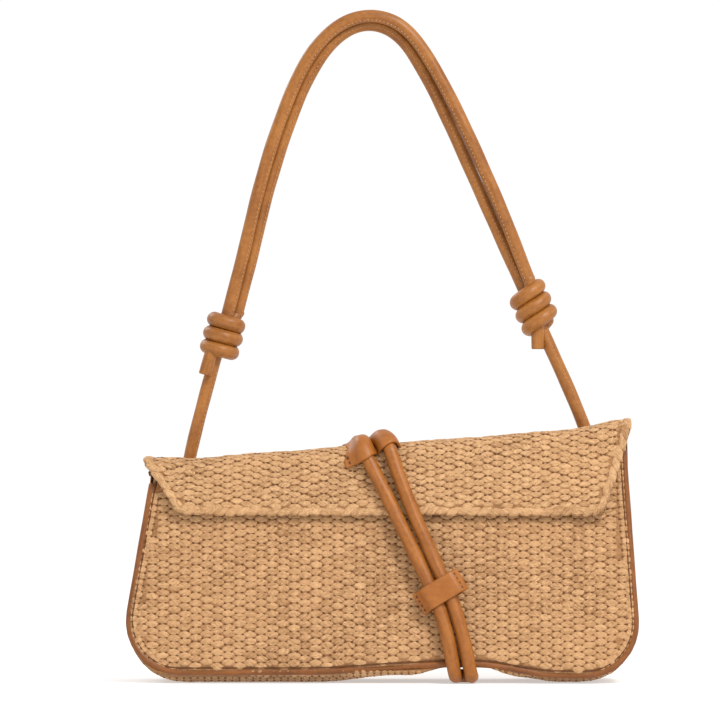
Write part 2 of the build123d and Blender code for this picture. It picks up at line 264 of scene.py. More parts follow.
def edge_distance(points, outline):
    """Distance from each point to a closed outline, positive inside."""
    outline = np.array(outline, float)
    start, end = outline, np.roll(outline, -1, axis=0)
    run = end - start
    to = points[:, None, :] - start[None]
    share = np.clip((to * run).sum(-1) / ((run * run).sum(-1) + TINY), 0, 1)
    gap = np.linalg.norm(to - share[..., None] * run, axis=-1).min(1)
    x, z = points[:, :1], points[:, 1:]
    meets = (end[:, 0] - start[:, 0]) * (z - start[:, 1]) / (end[:, 1] - start[:, 1] + TINY) + start[:, 0]
    crosses = ((start[:, 1] > z) != (end[:, 1] > z)) & (x < meets)
    return np.where(crosses.sum(1) % 2 == 1, gap, -gap)


def chains(outline):
    """Lower and upper edge of a closed outline, each as points in order of x."""
    outline = np.array(outline, float)
    left, right = outline[:, 0].argmin(), outline[:, 0].argmax()
    one = np.roll(outline, -left, axis=0)[:(right - left) % len(outline) + 1]
    other = np.roll(outline, -right, axis=0)[:(left - right) % len(outline) + 1][::-1]
    return (one, other) if one[:, 1].mean() < other[:, 1].mean() else (other, one)


# ---- mesh building ----
def quads(rows, columns, around=False):
    """Faces of a grid of vertices, row by row, closed round its columns if asked."""
    last = columns if around else columns - 1
    row, column = np.meshgrid(np.arange(rows - 1), np.arange(last), indexing="ij")
    after = (column + 1) % columns
    return np.stack([row * columns + column, row * columns + after,
                     (row + 1) * columns + after, (row + 1) * columns + column], -1).reshape(-1, 4)


def linked(name, data):
    """A new object in the scene."""
    obj = bpy.data.objects.new(name, data)
    bpy.context.collection.objects.link(obj)
    return obj


class Mesh:
    """Blocks of vertices and faces that become one piece.

    Each vertex carries a place on its own strand, as along, across and a number of its own, and a tone.
    """

    def __init__(self):
        self.vertices, self.faces, self.strands, self.tones, self.finishes = [], [], [], [], []
        self.count = 0

    def add(self, vertices, *faces, strand=None, tone=0.0, finish=0):
        vertices = np.asarray(vertices, float).reshape(-1, 3)
        strand = vertices if strand is None else np.asarray(strand, float).reshape(-1, 3)
        self.vertices.append(vertices)
        self.strands.append(strand)
        self.tones.append(np.broadcast_to(np.asarray(tone, float).reshape(-1), len(vertices)))
        for block in faces:
            self.faces += (block + self.count).tolist()
            self.finishes += [finish] * len(block)
        self.count += len(vertices)
        return self

    def grid(self, points, around=False, **facts):
        """A sheet through rows of points, or a tube if it is closed round them."""
        rows, columns = points.shape[:2]
        return self.add(points, quads(rows, columns, around), **facts)

    def slab(self, outer, inner, **facts):
        """A closed sheet between two grids of points."""
        rows, columns = outer.shape[:2]
        number = np.arange(rows * columns).reshape(rows, columns)
        rim = np.concatenate([number[0, :-1], number[:-1, -1], number[-1, :0:-1], number[:0:-1, 0]])
        ahead = np.roll(rim, -1)
        sheet = quads(rows, columns)
        side = np.stack([ahead, rim, rim + rows * columns, ahead + rows * columns], -1)
        faces = np.concatenate([sheet, sheet[:, ::-1] + rows * columns, side])
        return self.add(np.concatenate([outer.reshape(-1, 3), inner.reshape(-1, 3)]), faces, **facts)

    def piece(self, name, *materials):
        """Everything added so far as one object, with a material for each finish."""
        mesh = bpy.data.meshes.new(name)
        mesh.from_pydata(np.concatenate(self.vertices).tolist(), [], self.faces)
        strand = mesh.attributes.new("strand", "FLOAT_VECTOR", "POINT")
        strand.data.foreach_set("vector", np.concatenate(self.strands).astype(np.float32).ravel())
        tone = mesh.attributes.new("tone", "FLOAT", "POINT")
        tone.data.foreach_set("value", np.concatenate(self.tones).astype(np.float32))
        for made in materials:
            mesh.materials.append(made)
        mesh.polygons.foreach_set("material_index", self.finishes)
        mesh.polygons.foreach_set("use_smooth", [True] * len(mesh.polygons))
        mesh.update()
        outside_out(mesh)
        return linked(name, mesh)


def outside_out(mesh):
    """Turns every face so that it looks out of its own closed shell."""
    work = bmesh.new()
    work.from_mesh(mesh)
    bmesh.ops.recalc_face_normals(work, faces=work.faces)
    work.to_mesh(mesh)
    work.free()


def bends(points):
    """Directions along a line and two sideways ones that don't twist along it."""
    ahead = headings(points)
    guess = -BACK if abs(ahead[0][1]) < .9 else np.array([1.0, 0, 0])
    side = [unit(guess - (guess @ ahead[0]) * ahead[0])]
    for direction in ahead[1:]:
        side.append(unit(side[-1] - (side[-1] @ direction) * direction))
    side = np.array(side)
    return ahead, side, np.cross(ahead, side)


GROOVE_DEPTH, GROOVE_WIDTH = .10, .16  # as a share of the radius, and in radians
LID_OPEN = .001  # share of a lid's rim left round its middle


def round_line(mesh, points, radius, section=24, cap=.25, swerve=0.0, groove=None, seed=0.0, finish=0):
    """A round bar along a line, with softly rounded ends, and a sewn groove at one angle if asked.

    Swerve is the share of the radius by which the bar is uneven, and cap that by which its ends round.
    """
    points = np.asarray(points, float)
    ahead, first, second = bends(points)
    around = np.linspace(0, 2 * pi, section, endpoint=False)
    radii = np.full(len(points), float(radius)) if np.isscalar(radius) else np.asarray(radius, float)
    run = run_along(points)
    waves = (np.sin(run[:, None] * 210 + 2 * around + seed)
             + .7 * np.sin(run[:, None] * 97 - around + 2 * seed))
    ring = radii[:, None] * (1 + swerve * waves)
    if groove is not None:
        off = np.angle(np.exp(1j * (around - groove)))
        ring = ring * (1 - GROOVE_DEPTH * np.exp(-(off / GROOVE_WIDTH) ** 2))
    rows = points[:, None] + ring[..., None] * (np.cos(around)[None, :, None] * first[:, None]
                                                + np.sin(around)[None, :, None] * second[:, None])
    strand = np.stack(np.broadcast_arrays(run[:, None], radii.max() * around, seed), -1)
    lids = []
    for end, sign in ((0, -1), (-1, 1)):
        tip = points[end] + sign * ahead[end] * radii[end] * cap
        rim = tip + (rows[end] - points[end]) * (1 - cap)
        lids += [rim[None], (tip * (1 - LID_OPEN) + rim * LID_OPEN)[None]]
    start_rim, start_middle, end_rim, end_middle = lids
    rows = np.concatenate([start_middle, start_rim, rows, end_rim, end_middle])
    strand = np.concatenate([strand[:1], strand[:1], strand, strand[-1:], strand[-1:]])
    return mesh.grid(rows, around=True, strand=strand, finish=finish)


LINE_STEP = .0015  # spacing of the points along a cord


def spline_points(name, route):
    """Points along the smooth line whose control points are the route."""
    curve = bpy.data.curves.new(name, "CURVE")
    curve.dimensions = "3D"
    curve.resolution_u = 12
    spline = curve.splines.new("NURBS")
    spline.points.add(len(route) - 1)
    for point, place in zip(spline.points, route):
        point.co = (*place, 1)
    spline.order_u = 3
    spline.use_endpoint_u = True
    holder = linked(name, curve)
    mesh = bpy.data.meshes.new_from_object(holder)
    line = np.array([v.co for v in mesh.vertices])
    bpy.data.objects.remove(holder)
    bpy.data.curves.remove(curve)
    bpy.data.meshes.remove(mesh)
    return resample(line, LINE_STEP)


# ---- materials ----
class Nodes:
    """A short way to write a node tree."""

    def __init__(self, name):
        self.material = bpy.data.materials.new(name)
        self.material.use_nodes = True
        self.tree = self.material.node_tree
        self.tree.nodes.clear()
        self.shader = self.node("ShaderNodeBsdfPrincipled")
        self.join(self.shader.outputs[0], self.node("ShaderNodeOutputMaterial").inputs[0])

    def node(self, kind, **facts):
        """A new node with those facts set."""
        made = self.tree.nodes.new(kind)
        for key, value in facts.items():
            setattr(made, key, value)
        return made

    def join(self, start, end):
        self.tree.links.new(start, end)

    def feed(self, socket, value):
        """Gives a socket a number or colour, or what another node makes."""
        if hasattr(value, "links"):
            self.join(value, socket)
        else:
            socket.default_value = value

    def math(self, operation, first, second):
        made = self.node("ShaderNodeMath", operation=operation)
        for socket, value in zip(made.inputs, (first, second)):
            self.feed(socket, value)
        return made.outputs[0]

    def about_half(self, value, strength):
        """A value from 0 to 1 as one about zero, that strong."""
        return self.math("MULTIPLY", self.math("SUBTRACT", value, .5), strength)

    def mix(self, share, first, second):
        made = self.node("ShaderNodeMix", data_type="RGBA")
        self.feed(made.inputs[0], share)
        self.feed(made.inputs[6], first)
        self.feed(made.inputs[7], second)
        return made.outputs[2]

    def attribute(self, name, output="Vector"):
        return self.node("ShaderNodeAttribute", attribute_name=name).outputs[output]

    def place(self):
        return self.node("ShaderNodeTexCoord").outputs["Object"]

    def scaled(self, vector, scale):
        made = self.node("ShaderNodeVectorMath", operation="MULTIPLY")
        self.join(vector, made.inputs[0])
        made.inputs[1].default_value = scale
        return made.outputs[0]

    def noise(self, vector, scale, detail, rough):
        """Fractal noise, with its scale, number of octaves and roughness."""
        made = self.node("ShaderNodeTexNoise")
        self.join(vector, made.inputs["Vector"])
        made.inputs["Scale"].default_value = scale
        made.inputs["Detail"].default_value = detail
        made.inputs["Roughness"].default_value = rough
        return made.outputs["Fac"]

    def streaks(self, vector, stretch, detail, rough):
        """Noise drawn out by a different scale on each axis."""
        return self.noise(self.scaled(vector, stretch), 1.0, detail, rough)

    def cells(self, vector, scale):
        made = self.node("ShaderNodeTexVoronoi")
        self.join(vector, made.inputs["Vector"])
        made.inputs["Scale"].default_value = scale
        return made.outputs["Distance"]

    def levels(self, value, low, high, to_low=0.0, to_high=1.0):
        """A value between two levels, carried to two others."""
        made = self.node("ShaderNodeMapRange")
        self.feed(made.inputs[0], value)
        for socket, number in zip(made.inputs[1:5], (low, high, to_low, to_high)):
            socket.default_value = number
        return made.outputs[0]

    def bump(self, height_value, strength, distance, below=None):
        made = self.node("ShaderNodeBump")
        made.inputs["Strength"].default_value = strength
        made.inputs["Distance"].default_value = distance
        self.join(height_value, made.inputs["Height"])
        if below is not None:
            self.join(below, made.inputs["Normal"])
        return made.outputs[0]

    def set(self, **values):
        """Feeds the shader's inputs, named with an underscore for each space."""
        for key, value in values.items():
            self.feed(self.shader.inputs[key.replace("_", " ")], value)
        return self.material


def srgb(red, green, blue):
    """A linear colour from one given as a screen shows it."""
    return tuple(((c / 255 + .055) / 1.055) ** 2.4 if c > 10 else c / 255 / 12.92
                 for c in (red, green, blue)) + (1.0,)


def straw_material(name, light, dark, tint):
    """Dry twisted fibre: streaks along each stitch, each with its own tone."""
    n = Nodes(name)
    strand = n.attribute("strand")
    streak = n.streaks(strand, (300, 1000, 900), 3, .65)
    fine = n.streaks(strand, (800, 2600, 900), 2, .5)
    patch = n.noise(n.place(), 22, 3, .5)
    tone = n.attribute("tone", "Fac")
    for noise, strength in ((streak, 1.9), (fine, 1.0), (patch, .4)):
        tone = n.math("ADD", tone, n.about_half(noise, strength))
    colour = n.mix(n.levels(tone, -.42, .42), dark, light)
    colour = n.mix(n.levels(patch, .42, .62, 0, .3), colour, tint)
    rough = n.levels(fine, .3, .7, .6, .82)
    ridges = n.bump(streak, 1.0, .0007)
    normal = n.bump(fine, .6, .0003, ridges)
    return n.set(Base_Color=colour, Roughness=rough, Normal=normal, Sheen_Weight=.05, Specular_IOR_Level=.3)


def leather_material(name, light, dark, roughness):
    """Smooth veg-tanned leather: a fine pebble, slow mottling and streaks along its strand."""
    n = Nodes(name)
    place = n.place()
    mottled = n.noise(place, 45, 4, .55)
    fine = n.noise(place, 420, 3, .5)
    pebble = n.cells(place, 1500)
    streak = n.streaks(n.attribute("strand"), (45, 420, 300), 3, .55)
    mixed = n.math("ADD", n.math("MULTIPLY", mottled, .5), n.math("MULTIPLY", streak, .5))
    mixed = n.math("ADD", mixed, n.about_half(fine, .35))
    mixed = n.math("ADD", mixed, n.attribute("tone", "Fac"))
    colour = n.mix(n.levels(mixed, .32, .68), dark, light)
    rough = n.levels(fine, .3, .7, roughness - .06, roughness + .1)
    normal = n.bump(pebble, .22, .00012, n.bump(mottled, .25, .0006))
    return n.set(Base_Color=colour, Roughness=rough, Normal=normal, Specular_IOR_Level=.36)


def cloth_material(name, light, dark):
    """Plain woven cotton."""
    n = Nodes(name)
    place = n.place()
    warp, weft = (n.node("ShaderNodeTexWave", bands_direction=way) for way in "XZ")
    for wave in (warp, weft):
        n.join(place, wave.inputs["Vector"])
        wave.inputs["Scale"].default_value = 420
        wave.inputs["Distortion"].default_value = .6
    woven = n.math("MULTIPLY", warp.outputs["Fac"], weft.outputs["Fac"])
    slub = n.streaks(place, (60, 60, 600), 3, .6)
    mixed = n.math("ADD", n.math("MULTIPLY", woven, .5), n.math("MULTIPLY", slub, .6))
    colour = n.mix(n.levels(mixed, .15, .8), dark, light)
    normal = n.bump(woven, .3, .0002, n.bump(slub, .25, .0003))
    return n.set(Base_Color=colour, Roughness=.86, Normal=normal, Sheen_Weight=.25,
                 Specular_IOR_Level=.25)


def thread_material(name, colour, dark):
    """Twisted sewing thread."""
    n = Nodes(name)
    twist = n.streaks(n.attribute("strand"), (3000, 900, 300), 2, .5)
    return n.set(Base_Color=n.mix(n.levels(twist, .35, .65), dark, colour), Roughness=.6,
                 Normal=n.bump(twist, .4, .0002))


def brass_material(name, light, dark):
    """Brushed brass, duller in patches."""
    n = Nodes(name)
    wear = n.noise(n.place(), 160, 4, .6)
    scratch = n.streaks(n.place(), (900, 900, 90), 3, .6)
    colour = n.mix(n.levels(wear, .35, .65), dark, light)
    return n.set(Base_Color=colour, Metallic=1.0, Roughness=n.levels(scratch, .3, .7, .24, .42),
                 Normal=n.bump(scratch, .08, .0001))


# each material with its light and its dark colour, and straw with the tint of its patches
STRAW_FRONT = straw_material("straw", srgb(206, 162, 116), srgb(142, 100, 60), srgb(184, 139, 94))
STRAW_FLAP = straw_material("flap_straw", srgb(208, 166, 120), srgb(146, 104, 64), srgb(188, 143, 97))
# The ground's straw is painted darker than the stitches': painted shade of the recesses between them.
STRAW_GROUND_SHADED = straw_material("straw_ground_shaded", srgb(176, 130, 86), srgb(120, 80, 44), srgb(160, 114, 70))
# The hole material is painted shade: dark discs and bars for the shade in the weave's holes and along the
# piping's crease.
STRAW_HOLE_SHADE = straw_material("straw_hole_shade", srgb(116, 72, 34), srgb(80, 46, 18), srgb(100, 60, 26))
CORD_LEATHER = leather_material("cord_leather", srgb(162, 100, 38), srgb(124, 66, 16), .40)
STRAP_LEATHER = leather_material("strap_leather", srgb(162, 104, 44), srgb(122, 70, 22), .42)
TRIM_LEATHER = leather_material("trim_leather", srgb(157, 94, 33), srgb(138, 78, 22), .40)
PIPING_LEATHER = leather_material("piping_leather", srgb(138, 82, 32), srgb(100, 54, 16), .42)
LINING = cloth_material("lining_cloth", srgb(214, 196, 168), srgb(172, 152, 122))
THREAD = thread_material("thread", srgb(226, 184, 140), srgb(170, 120, 78))
STRAP_THREAD = thread_material("strap_thread", srgb(200, 148, 98), srgb(150, 98, 56))
DARK_THREAD = thread_material("dark_thread", srgb(66, 32, 10), srgb(40, 18, 6))
BRASS = brass_material("brass", srgb(202, 168, 104), srgb(150, 116, 62))


# ---- straw ----
STITCH_RINGS = [(.42, .985, 0), (.78, .90, .03), (1.0, .68, .15), (1.14, -.4, .24)]
STITCH_TOP = 1.03
STITCH_CORNERS = np.array([1, .1, .9, 0, .9, .1, 1, .1, .9, 0, .9, .1])
CORNER_SINK = 3.2
STITCH_WAIST, STITCH_CROWNING = .52, 1.02  # height halfway to the tip, and at the middle


def stitch_shape(half_long, half_high, flat):
    """One stitch as seen from above: rings of points out from its middle, their heights and its faces.

    Each ring has its share of the outline, its height and how far its corners draw back. The rim runs
    under its neighbours', and the six corners leave the small holes.
    """
    mid = (half_long + flat) / 2
    corner = [(half_long, 0), (mid, half_high * STITCH_WAIST), (flat, half_high),
              (0, half_high * STITCH_CROWNING)]
    top = corner + [(-x, z) for x, z in corner[2::-1]]
    outline = np.array(top + [(x, -z) for x, z in top[-2:0:-1]])
    places, rises = [np.zeros((1, 2))], [np.array([STITCH_TOP])]
    for share, rise, draw in STITCH_RINGS:
        places.append(outline * share * (1 - draw * STITCH_CORNERS)[:, None])
        rises.append(rise - STITCH_CORNERS * CORNER_SINK * draw)
    count = len(outline)
    near = np.arange(count)
    after = (near + 1) % count
    triangles = np.stack([0 * near, 1 + near, 1 + after], -1)
    squares = [np.stack([near, near + count, after + count, after], -1) + 1 + ring * count
               for ring in range(len(STITCH_RINGS) - 1)]
    return np.concatenate(places), np.concatenate(rises), triangles, np.concatenate(squares)


SIZE_SPREAD, HEIGHT_SPREAD, TONE_SPREAD = .03, .09, .07
TIP_LONG, TIP_HIGH = .004, .002  # a stitch tips over this half length and half height
TWIST, TWIST_SPREAD = .5, .2  # a stitch's strands lie to one side or the other


def stitches(mesh, surface, centres, shape, crown, rng, along=0.0, jitter=.00022, turn=.07, lean=0.0,
             finish=0):
    """Lays one stitch at each centre, with its own small turn, size, height and tone."""
    flat, raised, triangles, squares = shape
    count, size = len(centres), len(raised)
    centres = centres + rng.normal(0, jitter, centres.shape)
    angle = rng.normal(0, turn, count) + along
    stretch = 1 + rng.normal(0, SIZE_SPREAD, (count, 2))
    local = flat[None] * stretch[:, None]
    c, s = np.cos(angle)[:, None], np.sin(angle)[:, None]
    x = centres[:, :1] + local[..., 0] * c - local[..., 1] * s
    z = centres[:, 1:] + local[..., 0] * s + local[..., 1] * c
    rise = crown * (1 + rng.normal(0, HEIGHT_SPREAD, count))[:, None]
    tip = rng.normal(0, HEIGHT_SPREAD, (count, 2)) * crown
    along_share, high_share = flat[None, :, 0] / TIP_LONG, flat[None, :, 1] / TIP_HIGH
    out = rise * raised[None] + tip[:, :1] * along_share + (tip[:, 1:] - lean * crown) * high_share
    own = rng.uniform(0, 50, count)
    twist = np.where(rng.random(count) < .5, -TWIST, TWIST) + rng.normal(0, TWIST_SPREAD, count)
    s, c = np.sin(twist)[:, None], np.cos(twist)[:, None]
    strand = np.stack([local[..., 0] * c + local[..., 1] * s, local[..., 1] * c - local[..., 0] * s,
                       np.repeat(own[:, None], size, 1)], -1)
    tone = np.repeat(rng.normal(0, TONE_SPREAD, count), size)
    numbers = np.arange(count)[:, None, None] * size
    mesh.add(surface(x, z, out), (triangles + numbers).reshape(-1, 3), (squares + numbers).reshape(-1, 4),
             strand=strand, tone=tone, finish=finish)


SPARE_ROWS = 8  # more rows above and below, for a lattice that slopes


def lattice(outline, column, pitch, margin, slope=0.0):
    """Centres in columns, every other one half a pitch up, that lie inside an outline."""
    low, high = outline.min(0), outline.max(0)
    i, j = np.meshgrid(np.arange(low[0] // column - 1, high[0] // column + 2),
                       np.arange(low[1] // pitch - SPARE_ROWS, high[1] // pitch + SPARE_ROWS), indexing="ij")
    x, z = i * column, j * pitch + (i % 2) * pitch / 2
    points = np.stack([x, z + slope * x], -1).reshape(-1, 2)
    return points[edge_distance(points, outline) > margin]


# the last of these lowers the ground's tone: painted shade in the recesses between the stitches
GROUND_LEVEL, GROUND_STEP, GROUND_INSET, GROUND_SHADE = .0004, .004, .0006, -.1


def ground(mesh, surface, outline):
    """The backing under the stitches, as a closed sheet, painted darker as the shade in the recesses between
    them.
    """
    lower, upper = chains(outline)
    low_x, high_x = lower[0, 0] + GROUND_INSET, lower[-1, 0] - GROUND_INSET
    x = np.linspace(low_x, high_x, int((high_x - low_x) / GROUND_STEP))
    low, high = np.interp(x, *lower.T) + GROUND_INSET, np.interp(x, *upper.T) - GROUND_INSET
    z = low + (high - low) * np.linspace(0, 1, int((high - low).max() / GROUND_STEP))[:, None]
    x = np.broadcast_to(x, z.shape)
    mesh.slab(surface(x, z, GROUND_LEVEL), surface(x, z, -STRAW), tone=GROUND_SHADE, finish=1)


# each stitch's half length, half height and half of its flat top's length
PANEL_STITCH = stitch_shape(.00470, .00216, .0019)
FLAP_STITCH = stitch_shape(.0046, .00212, .0013)
HOLE_SIZE = np.array([.0009, .00055, .00045])
EDGE_STITCH = stitch_shape(.0028, .0020, .0016)
HEM_STITCH = stitch_shape(.0058, .0023, .0024)
PANEL_COLUMN, PANEL_PITCH = .00645, .00410
FLAP_COLUMN, FLAP_PITCH = .0057, .0038
STRAW_CROWN = .0009
FRONT_SEED, FLAP_SEED, BACK_SEED, GUSSET_SEED = 11, 23, 37, 53


def seam_outline(top):
    """The closed outline of a face inside its piping."""
    return rounded(extended(SEAM, top), SEAM_RADII)


def edge_run(line, offset, spacing):
    """Places and directions at equal spacing along a line, moved to its left."""
    line = resample(line, spacing)
    ahead = headings(line)
    side = np.stack([-ahead[:, 1], ahead[:, 0]], -1)
    return line + side * offset, np.arctan2(ahead[:, 1], ahead[:, 0])


PANEL_HOLE, FLAP_HOLE = .0018, .0012  # how far each hole stands from the middle of its column
# the painted hole shades stand out past the stitches' rims, so that they always show
HOLE_LEVEL, HOLE_CROWN = .00048, .00022
HOLE_TURN, HOLE_JITTER = .25, .00016
FLAP_HOLE_SIZE, EDGE_HOLE_SIZE = 1.1, .8


def hole_shades(mesh, surface, field, reach, pitch, rng, size=1.0):
    """Dark discs at the small gaps where three stitches meet: painted shade of the holes."""
    shape = stitch_shape(*HOLE_SIZE * size)
    for side in (-reach, reach):
        places = field + np.array([side, pitch / 2])
        stitches(mesh, lambda x, z, out: surface(x, z, out + HOLE_LEVEL), places, shape, HOLE_CROWN, rng,
                 turn=HOLE_TURN, jitter=HOLE_JITTER, finish=2)


EDGE_INSET, EDGE_STEP = .0030, .0037
EDGE_UPRIGHT, EDGE_HOLE = .35, .0022
SIDE_MARGIN, FOOT_MARGIN = .0056, .0027
FOOT_FROM, FOOT_DEEP = .010, .014
ABOVE_ALL = .2  # a height above the whole bag


def woven(mesh, surface, outline, sides, rng, top=ABOVE_ALL):
    """A woven face: columns that run down to the piping, with a row of upright stitches along its sides."""
    field = lattice(outline, PANEL_COLUMN, PANEL_PITCH, 0)
    margin = FOOT_MARGIN + (SIDE_MARGIN - FOOT_MARGIN) * ease((field[:, 1] - FOOT_FROM) / FOOT_DEEP)
    field = field[(edge_distance(field, sides) > margin) & (height(field[:, 0], field[:, 1]) < top)]
    stitches(mesh, surface, field, PANEL_STITCH, STRAW_CROWN, rng)
    hole_shades(mesh, surface, field, PANEL_HOLE, PANEL_PITCH, rng)
    places, heading = edge_run(outline, EDGE_INSET, EDGE_STEP)
    upright = (places[:, 1] > FOOT_FROM) & (abs(np.sin(heading)) > EDGE_UPRIGHT) & (height(*places.T) < top)
    places, heading = places[upright], heading[upright]
    stitches(mesh, surface, places, EDGE_STITCH, STRAW_CROWN, rng, along=heading + pi / 2)
    inward = np.stack([-np.sin(heading), np.cos(heading)], -1)
    ahead = np.stack([np.cos(heading), np.sin(heading)], -1)
    gaps = places + inward * EDGE_HOLE + ahead * EDGE_STEP / 2 - [0, PANEL_PITCH / 2]
    hole_shades(mesh, surface, gaps, 0, PANEL_PITCH, rng, EDGE_HOLE_SIZE)


STITCHED_TOP = MOUTH_HEIGHT - .0072  # the stitches stop a little below the binding
SHADOW_LINE_INSET, SHADOW_LINE_STEP = .0021, .002  # a painted shadow line: a thin dark bar along the crease between the straw and the piping
SHADOW_LINE_LEVEL, SHADOW_LINE_RADIUS = .0004, .0006


def straw_front():
    rng = np.random.default_rng(FRONT_SEED)
    outline = seam_outline(MOUTH_HEIGHT)
    mesh = Mesh()
    woven(mesh, front_face, outline, outline, rng, STITCHED_TOP)
    ground(mesh, front_face, outline)
    # a thin dark bar along the piping: painted shadow of the crease
    line, _ = edge_run(outline, SHADOW_LINE_INSET, SHADOW_LINE_STEP)
    round_line(mesh, front_face(line[:, 0], line[:, 1], SHADOW_LINE_LEVEL), SHADOW_LINE_RADIUS, section=8, finish=2)
    obj = mesh.piece("straw_front", STRAW_FRONT, STRAW_GROUND_SHADED, STRAW_HOLE_SHADE)
    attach(obj, "bag")
    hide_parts("front_panel")
    return obj


FLAP = [(-.119, .0988), (.131, .0988), (.148, .150), (.148, .190), (-.141, .190), (-.141, .1306)]


def flap_outline():
    """The flap laid flat: its hem, its two sides and the top of the fold."""
    (hem_left, hem), (hem_right, _), (right, right_z), _, (left, _), (_, left_z) = FLAP
    return np.array([(hem_left, hem), (hem_right, hem), (right, right_z), (right, z_at(right, FLAT_TOP)),
                     (left, z_at(left, FLAT_TOP)), (left, left_z)])


def across_fold(obj):
    """Bakes the placement of a piece that lies over the fold, between the bag and the flap, into its mesh.
    """
    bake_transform(obj)


FLAP_SLOPE, FLAP_MARGIN, FLAP_INSIDE = .01, .0046, .0001
FLAP_TURN, FLAP_LEAN, FLAP_JITTER, FLAP_CROWN = .11, .30, .0003, STRAW_CROWN * 1.1
HEM_INSET, HEM_STEP, HEM_CORNER = .0024, .0062, .010
HEM_SLANT, HEM_TURN, HEM_CROWN = .30, .10, STRAW_CROWN * 1.5
FAR_SIDE, FAR_UP = .3, .5  # places well outside the bag


def straw_flap():
    rng = np.random.default_rng(FLAP_SEED)
    outline = flap_outline()
    mesh = Mesh()
    field = lattice(outline, FLAP_COLUMN, FLAP_PITCH, FLAP_INSIDE, slope=FLAP_SLOPE)
    hem = np.array([outline[5], outline[0], outline[1], outline[2]])
    free_edge = np.concatenate([[outline[4]], hem, [outline[3]]])
    beyond = [(FAR_SIDE, hem[3][1]), (FAR_SIDE, FAR_UP), (-FAR_SIDE, FAR_UP), (-FAR_SIDE, hem[0][1])]
    gap = edge_distance(field, np.concatenate([hem, beyond]))
    side_gap = np.minimum(field[:, 0] - outline[4, 0], outline[3, 0] - field[:, 0])
    field = field[(gap > FLAP_MARGIN) & (side_gap > FLAP_MARGIN)]
    stitches(mesh, flap_face, field, FLAP_STITCH, FLAP_CROWN, rng,
             turn=FLAP_TURN, lean=FLAP_LEAN, jitter=FLAP_JITTER)
    hole_shades(mesh, flap_face, field, FLAP_HOLE, FLAP_PITCH, rng, FLAP_HOLE_SIZE)
    places, heading = edge_run(rounded(free_edge, [HEM_CORNER] * 4), HEM_INSET, HEM_STEP)
    stitches(mesh, flap_face, places, HEM_STITCH, HEM_CROWN, rng, along=heading + HEM_SLANT, turn=HEM_TURN)
    ground(mesh, flap_face, outline)
    obj = mesh.piece("straw_flap", STRAW_FLAP, STRAW_GROUND_SHADED, STRAW_HOLE_SHADE)
    across_fold(obj)
    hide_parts("flap_panel")
    return obj


BACK_LEFT, BACK_RIGHT = [(-.141, .1306), (-.1364, .1145)], [(.1441, .125), (.148, .150)]


def back_outline():
    """The back laid flat: it widens above its seam into the two ends of the fold."""
    left, right = BACK_LEFT[0][0], BACK_RIGHT[1][0]
    return np.array([(left, z_at(left, FLAT_TOP)), *BACK_LEFT, *seam_outline(MOUTH_HEIGHT)[1:-1],
                     *BACK_RIGHT, (right, z_at(right, FLAT_TOP))])


def straw_back():
    rng = np.random.default_rng(BACK_SEED)
    outline = back_outline()
    mesh = Mesh()
    sides = np.concatenate([outline[1:-1], [(outline[-2, 0], FAR_UP), (outline[1, 0], FAR_UP)]])
    woven(mesh, back_face, outline, sides, rng)
    ground(mesh, back_face, outline)
    obj = mesh.piece("straw_back", STRAW_FLAP, STRAW_GROUND_SHADED, STRAW_HOLE_SHADE)
    across_fold(obj)
    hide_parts("back_panel")
    return obj


GUSSET_SINK = .0010  # its stitches stay inside the band's outer surface
GUSSET_RISE = .0085  # the side band reaches up into the fold
GUSSET_CROWN = STRAW_CROWN * .8
GUSSET_TUCK, GUSSET_MARGIN = .0012, .003  # its edges tuck behind the faces
GUSSET_COLUMNS = 5  # columns of stitches on each side of the middle one
GUSSET_GROUND, GUSSET_STEPS, GUSSET_WIDE_STEPS = .0006, 200, 17
SAGS = [(.0021, .020, .013), (.0017, .077, .011)]  # depth, place and reach
UNDERSIDE = .05  # the underside is all below this z

GUSSET_LINE = resample(rounded(extended(BELLY, MOUTH_HEIGHT + GUSSET_RISE), BELLY_RADII), LINE_STEP)
GUSSET_NORMAL = headings(GUSSET_LINE) @ np.array([[0, -1.0], [1.0, 0]])
GUSSET_RUN = run_along(GUSSET_LINE)


def sag(x):
    """How far the underside hangs lower, on either side of the closure cord."""
    return sum(deep * np.exp(-((x - place) / reach) ** 2) for deep, place, reach in SAGS)


def gusset_at(run):
    """The band's x and z at that distance round it, and half its width there."""
    x, z = (np.interp(run, GUSSET_RUN, GUSSET_LINE[:, i]) for i in (0, 1))
    return x, z, HALF_DEPTH - height(x, z) * TAN_L - GUSSET_TUCK


def gusset_face(run, y_share, out):
    """The band between the faces, by distance round it and place between its two seams, -1 to 1."""
    run, y_share, out = np.broadcast_arrays(run, y_share, out)
    x, z, half = gusset_at(run)
    normal_x, normal_z = (np.interp(run, GUSSET_RUN, GUSSET_NORMAL[:, i]) for i in (0, 1))
    y = y_share * half
    low = BELLY_SLOPE * np.clip(abs(y) - BELLY_FLAT, 0, None)
    z = np.where(z < UNDERSIDE, np.maximum(z - sag(x), low), z)
    return np.stack([x + normal_x * out, y + SHIFT_Y, z + normal_z * out], -1)


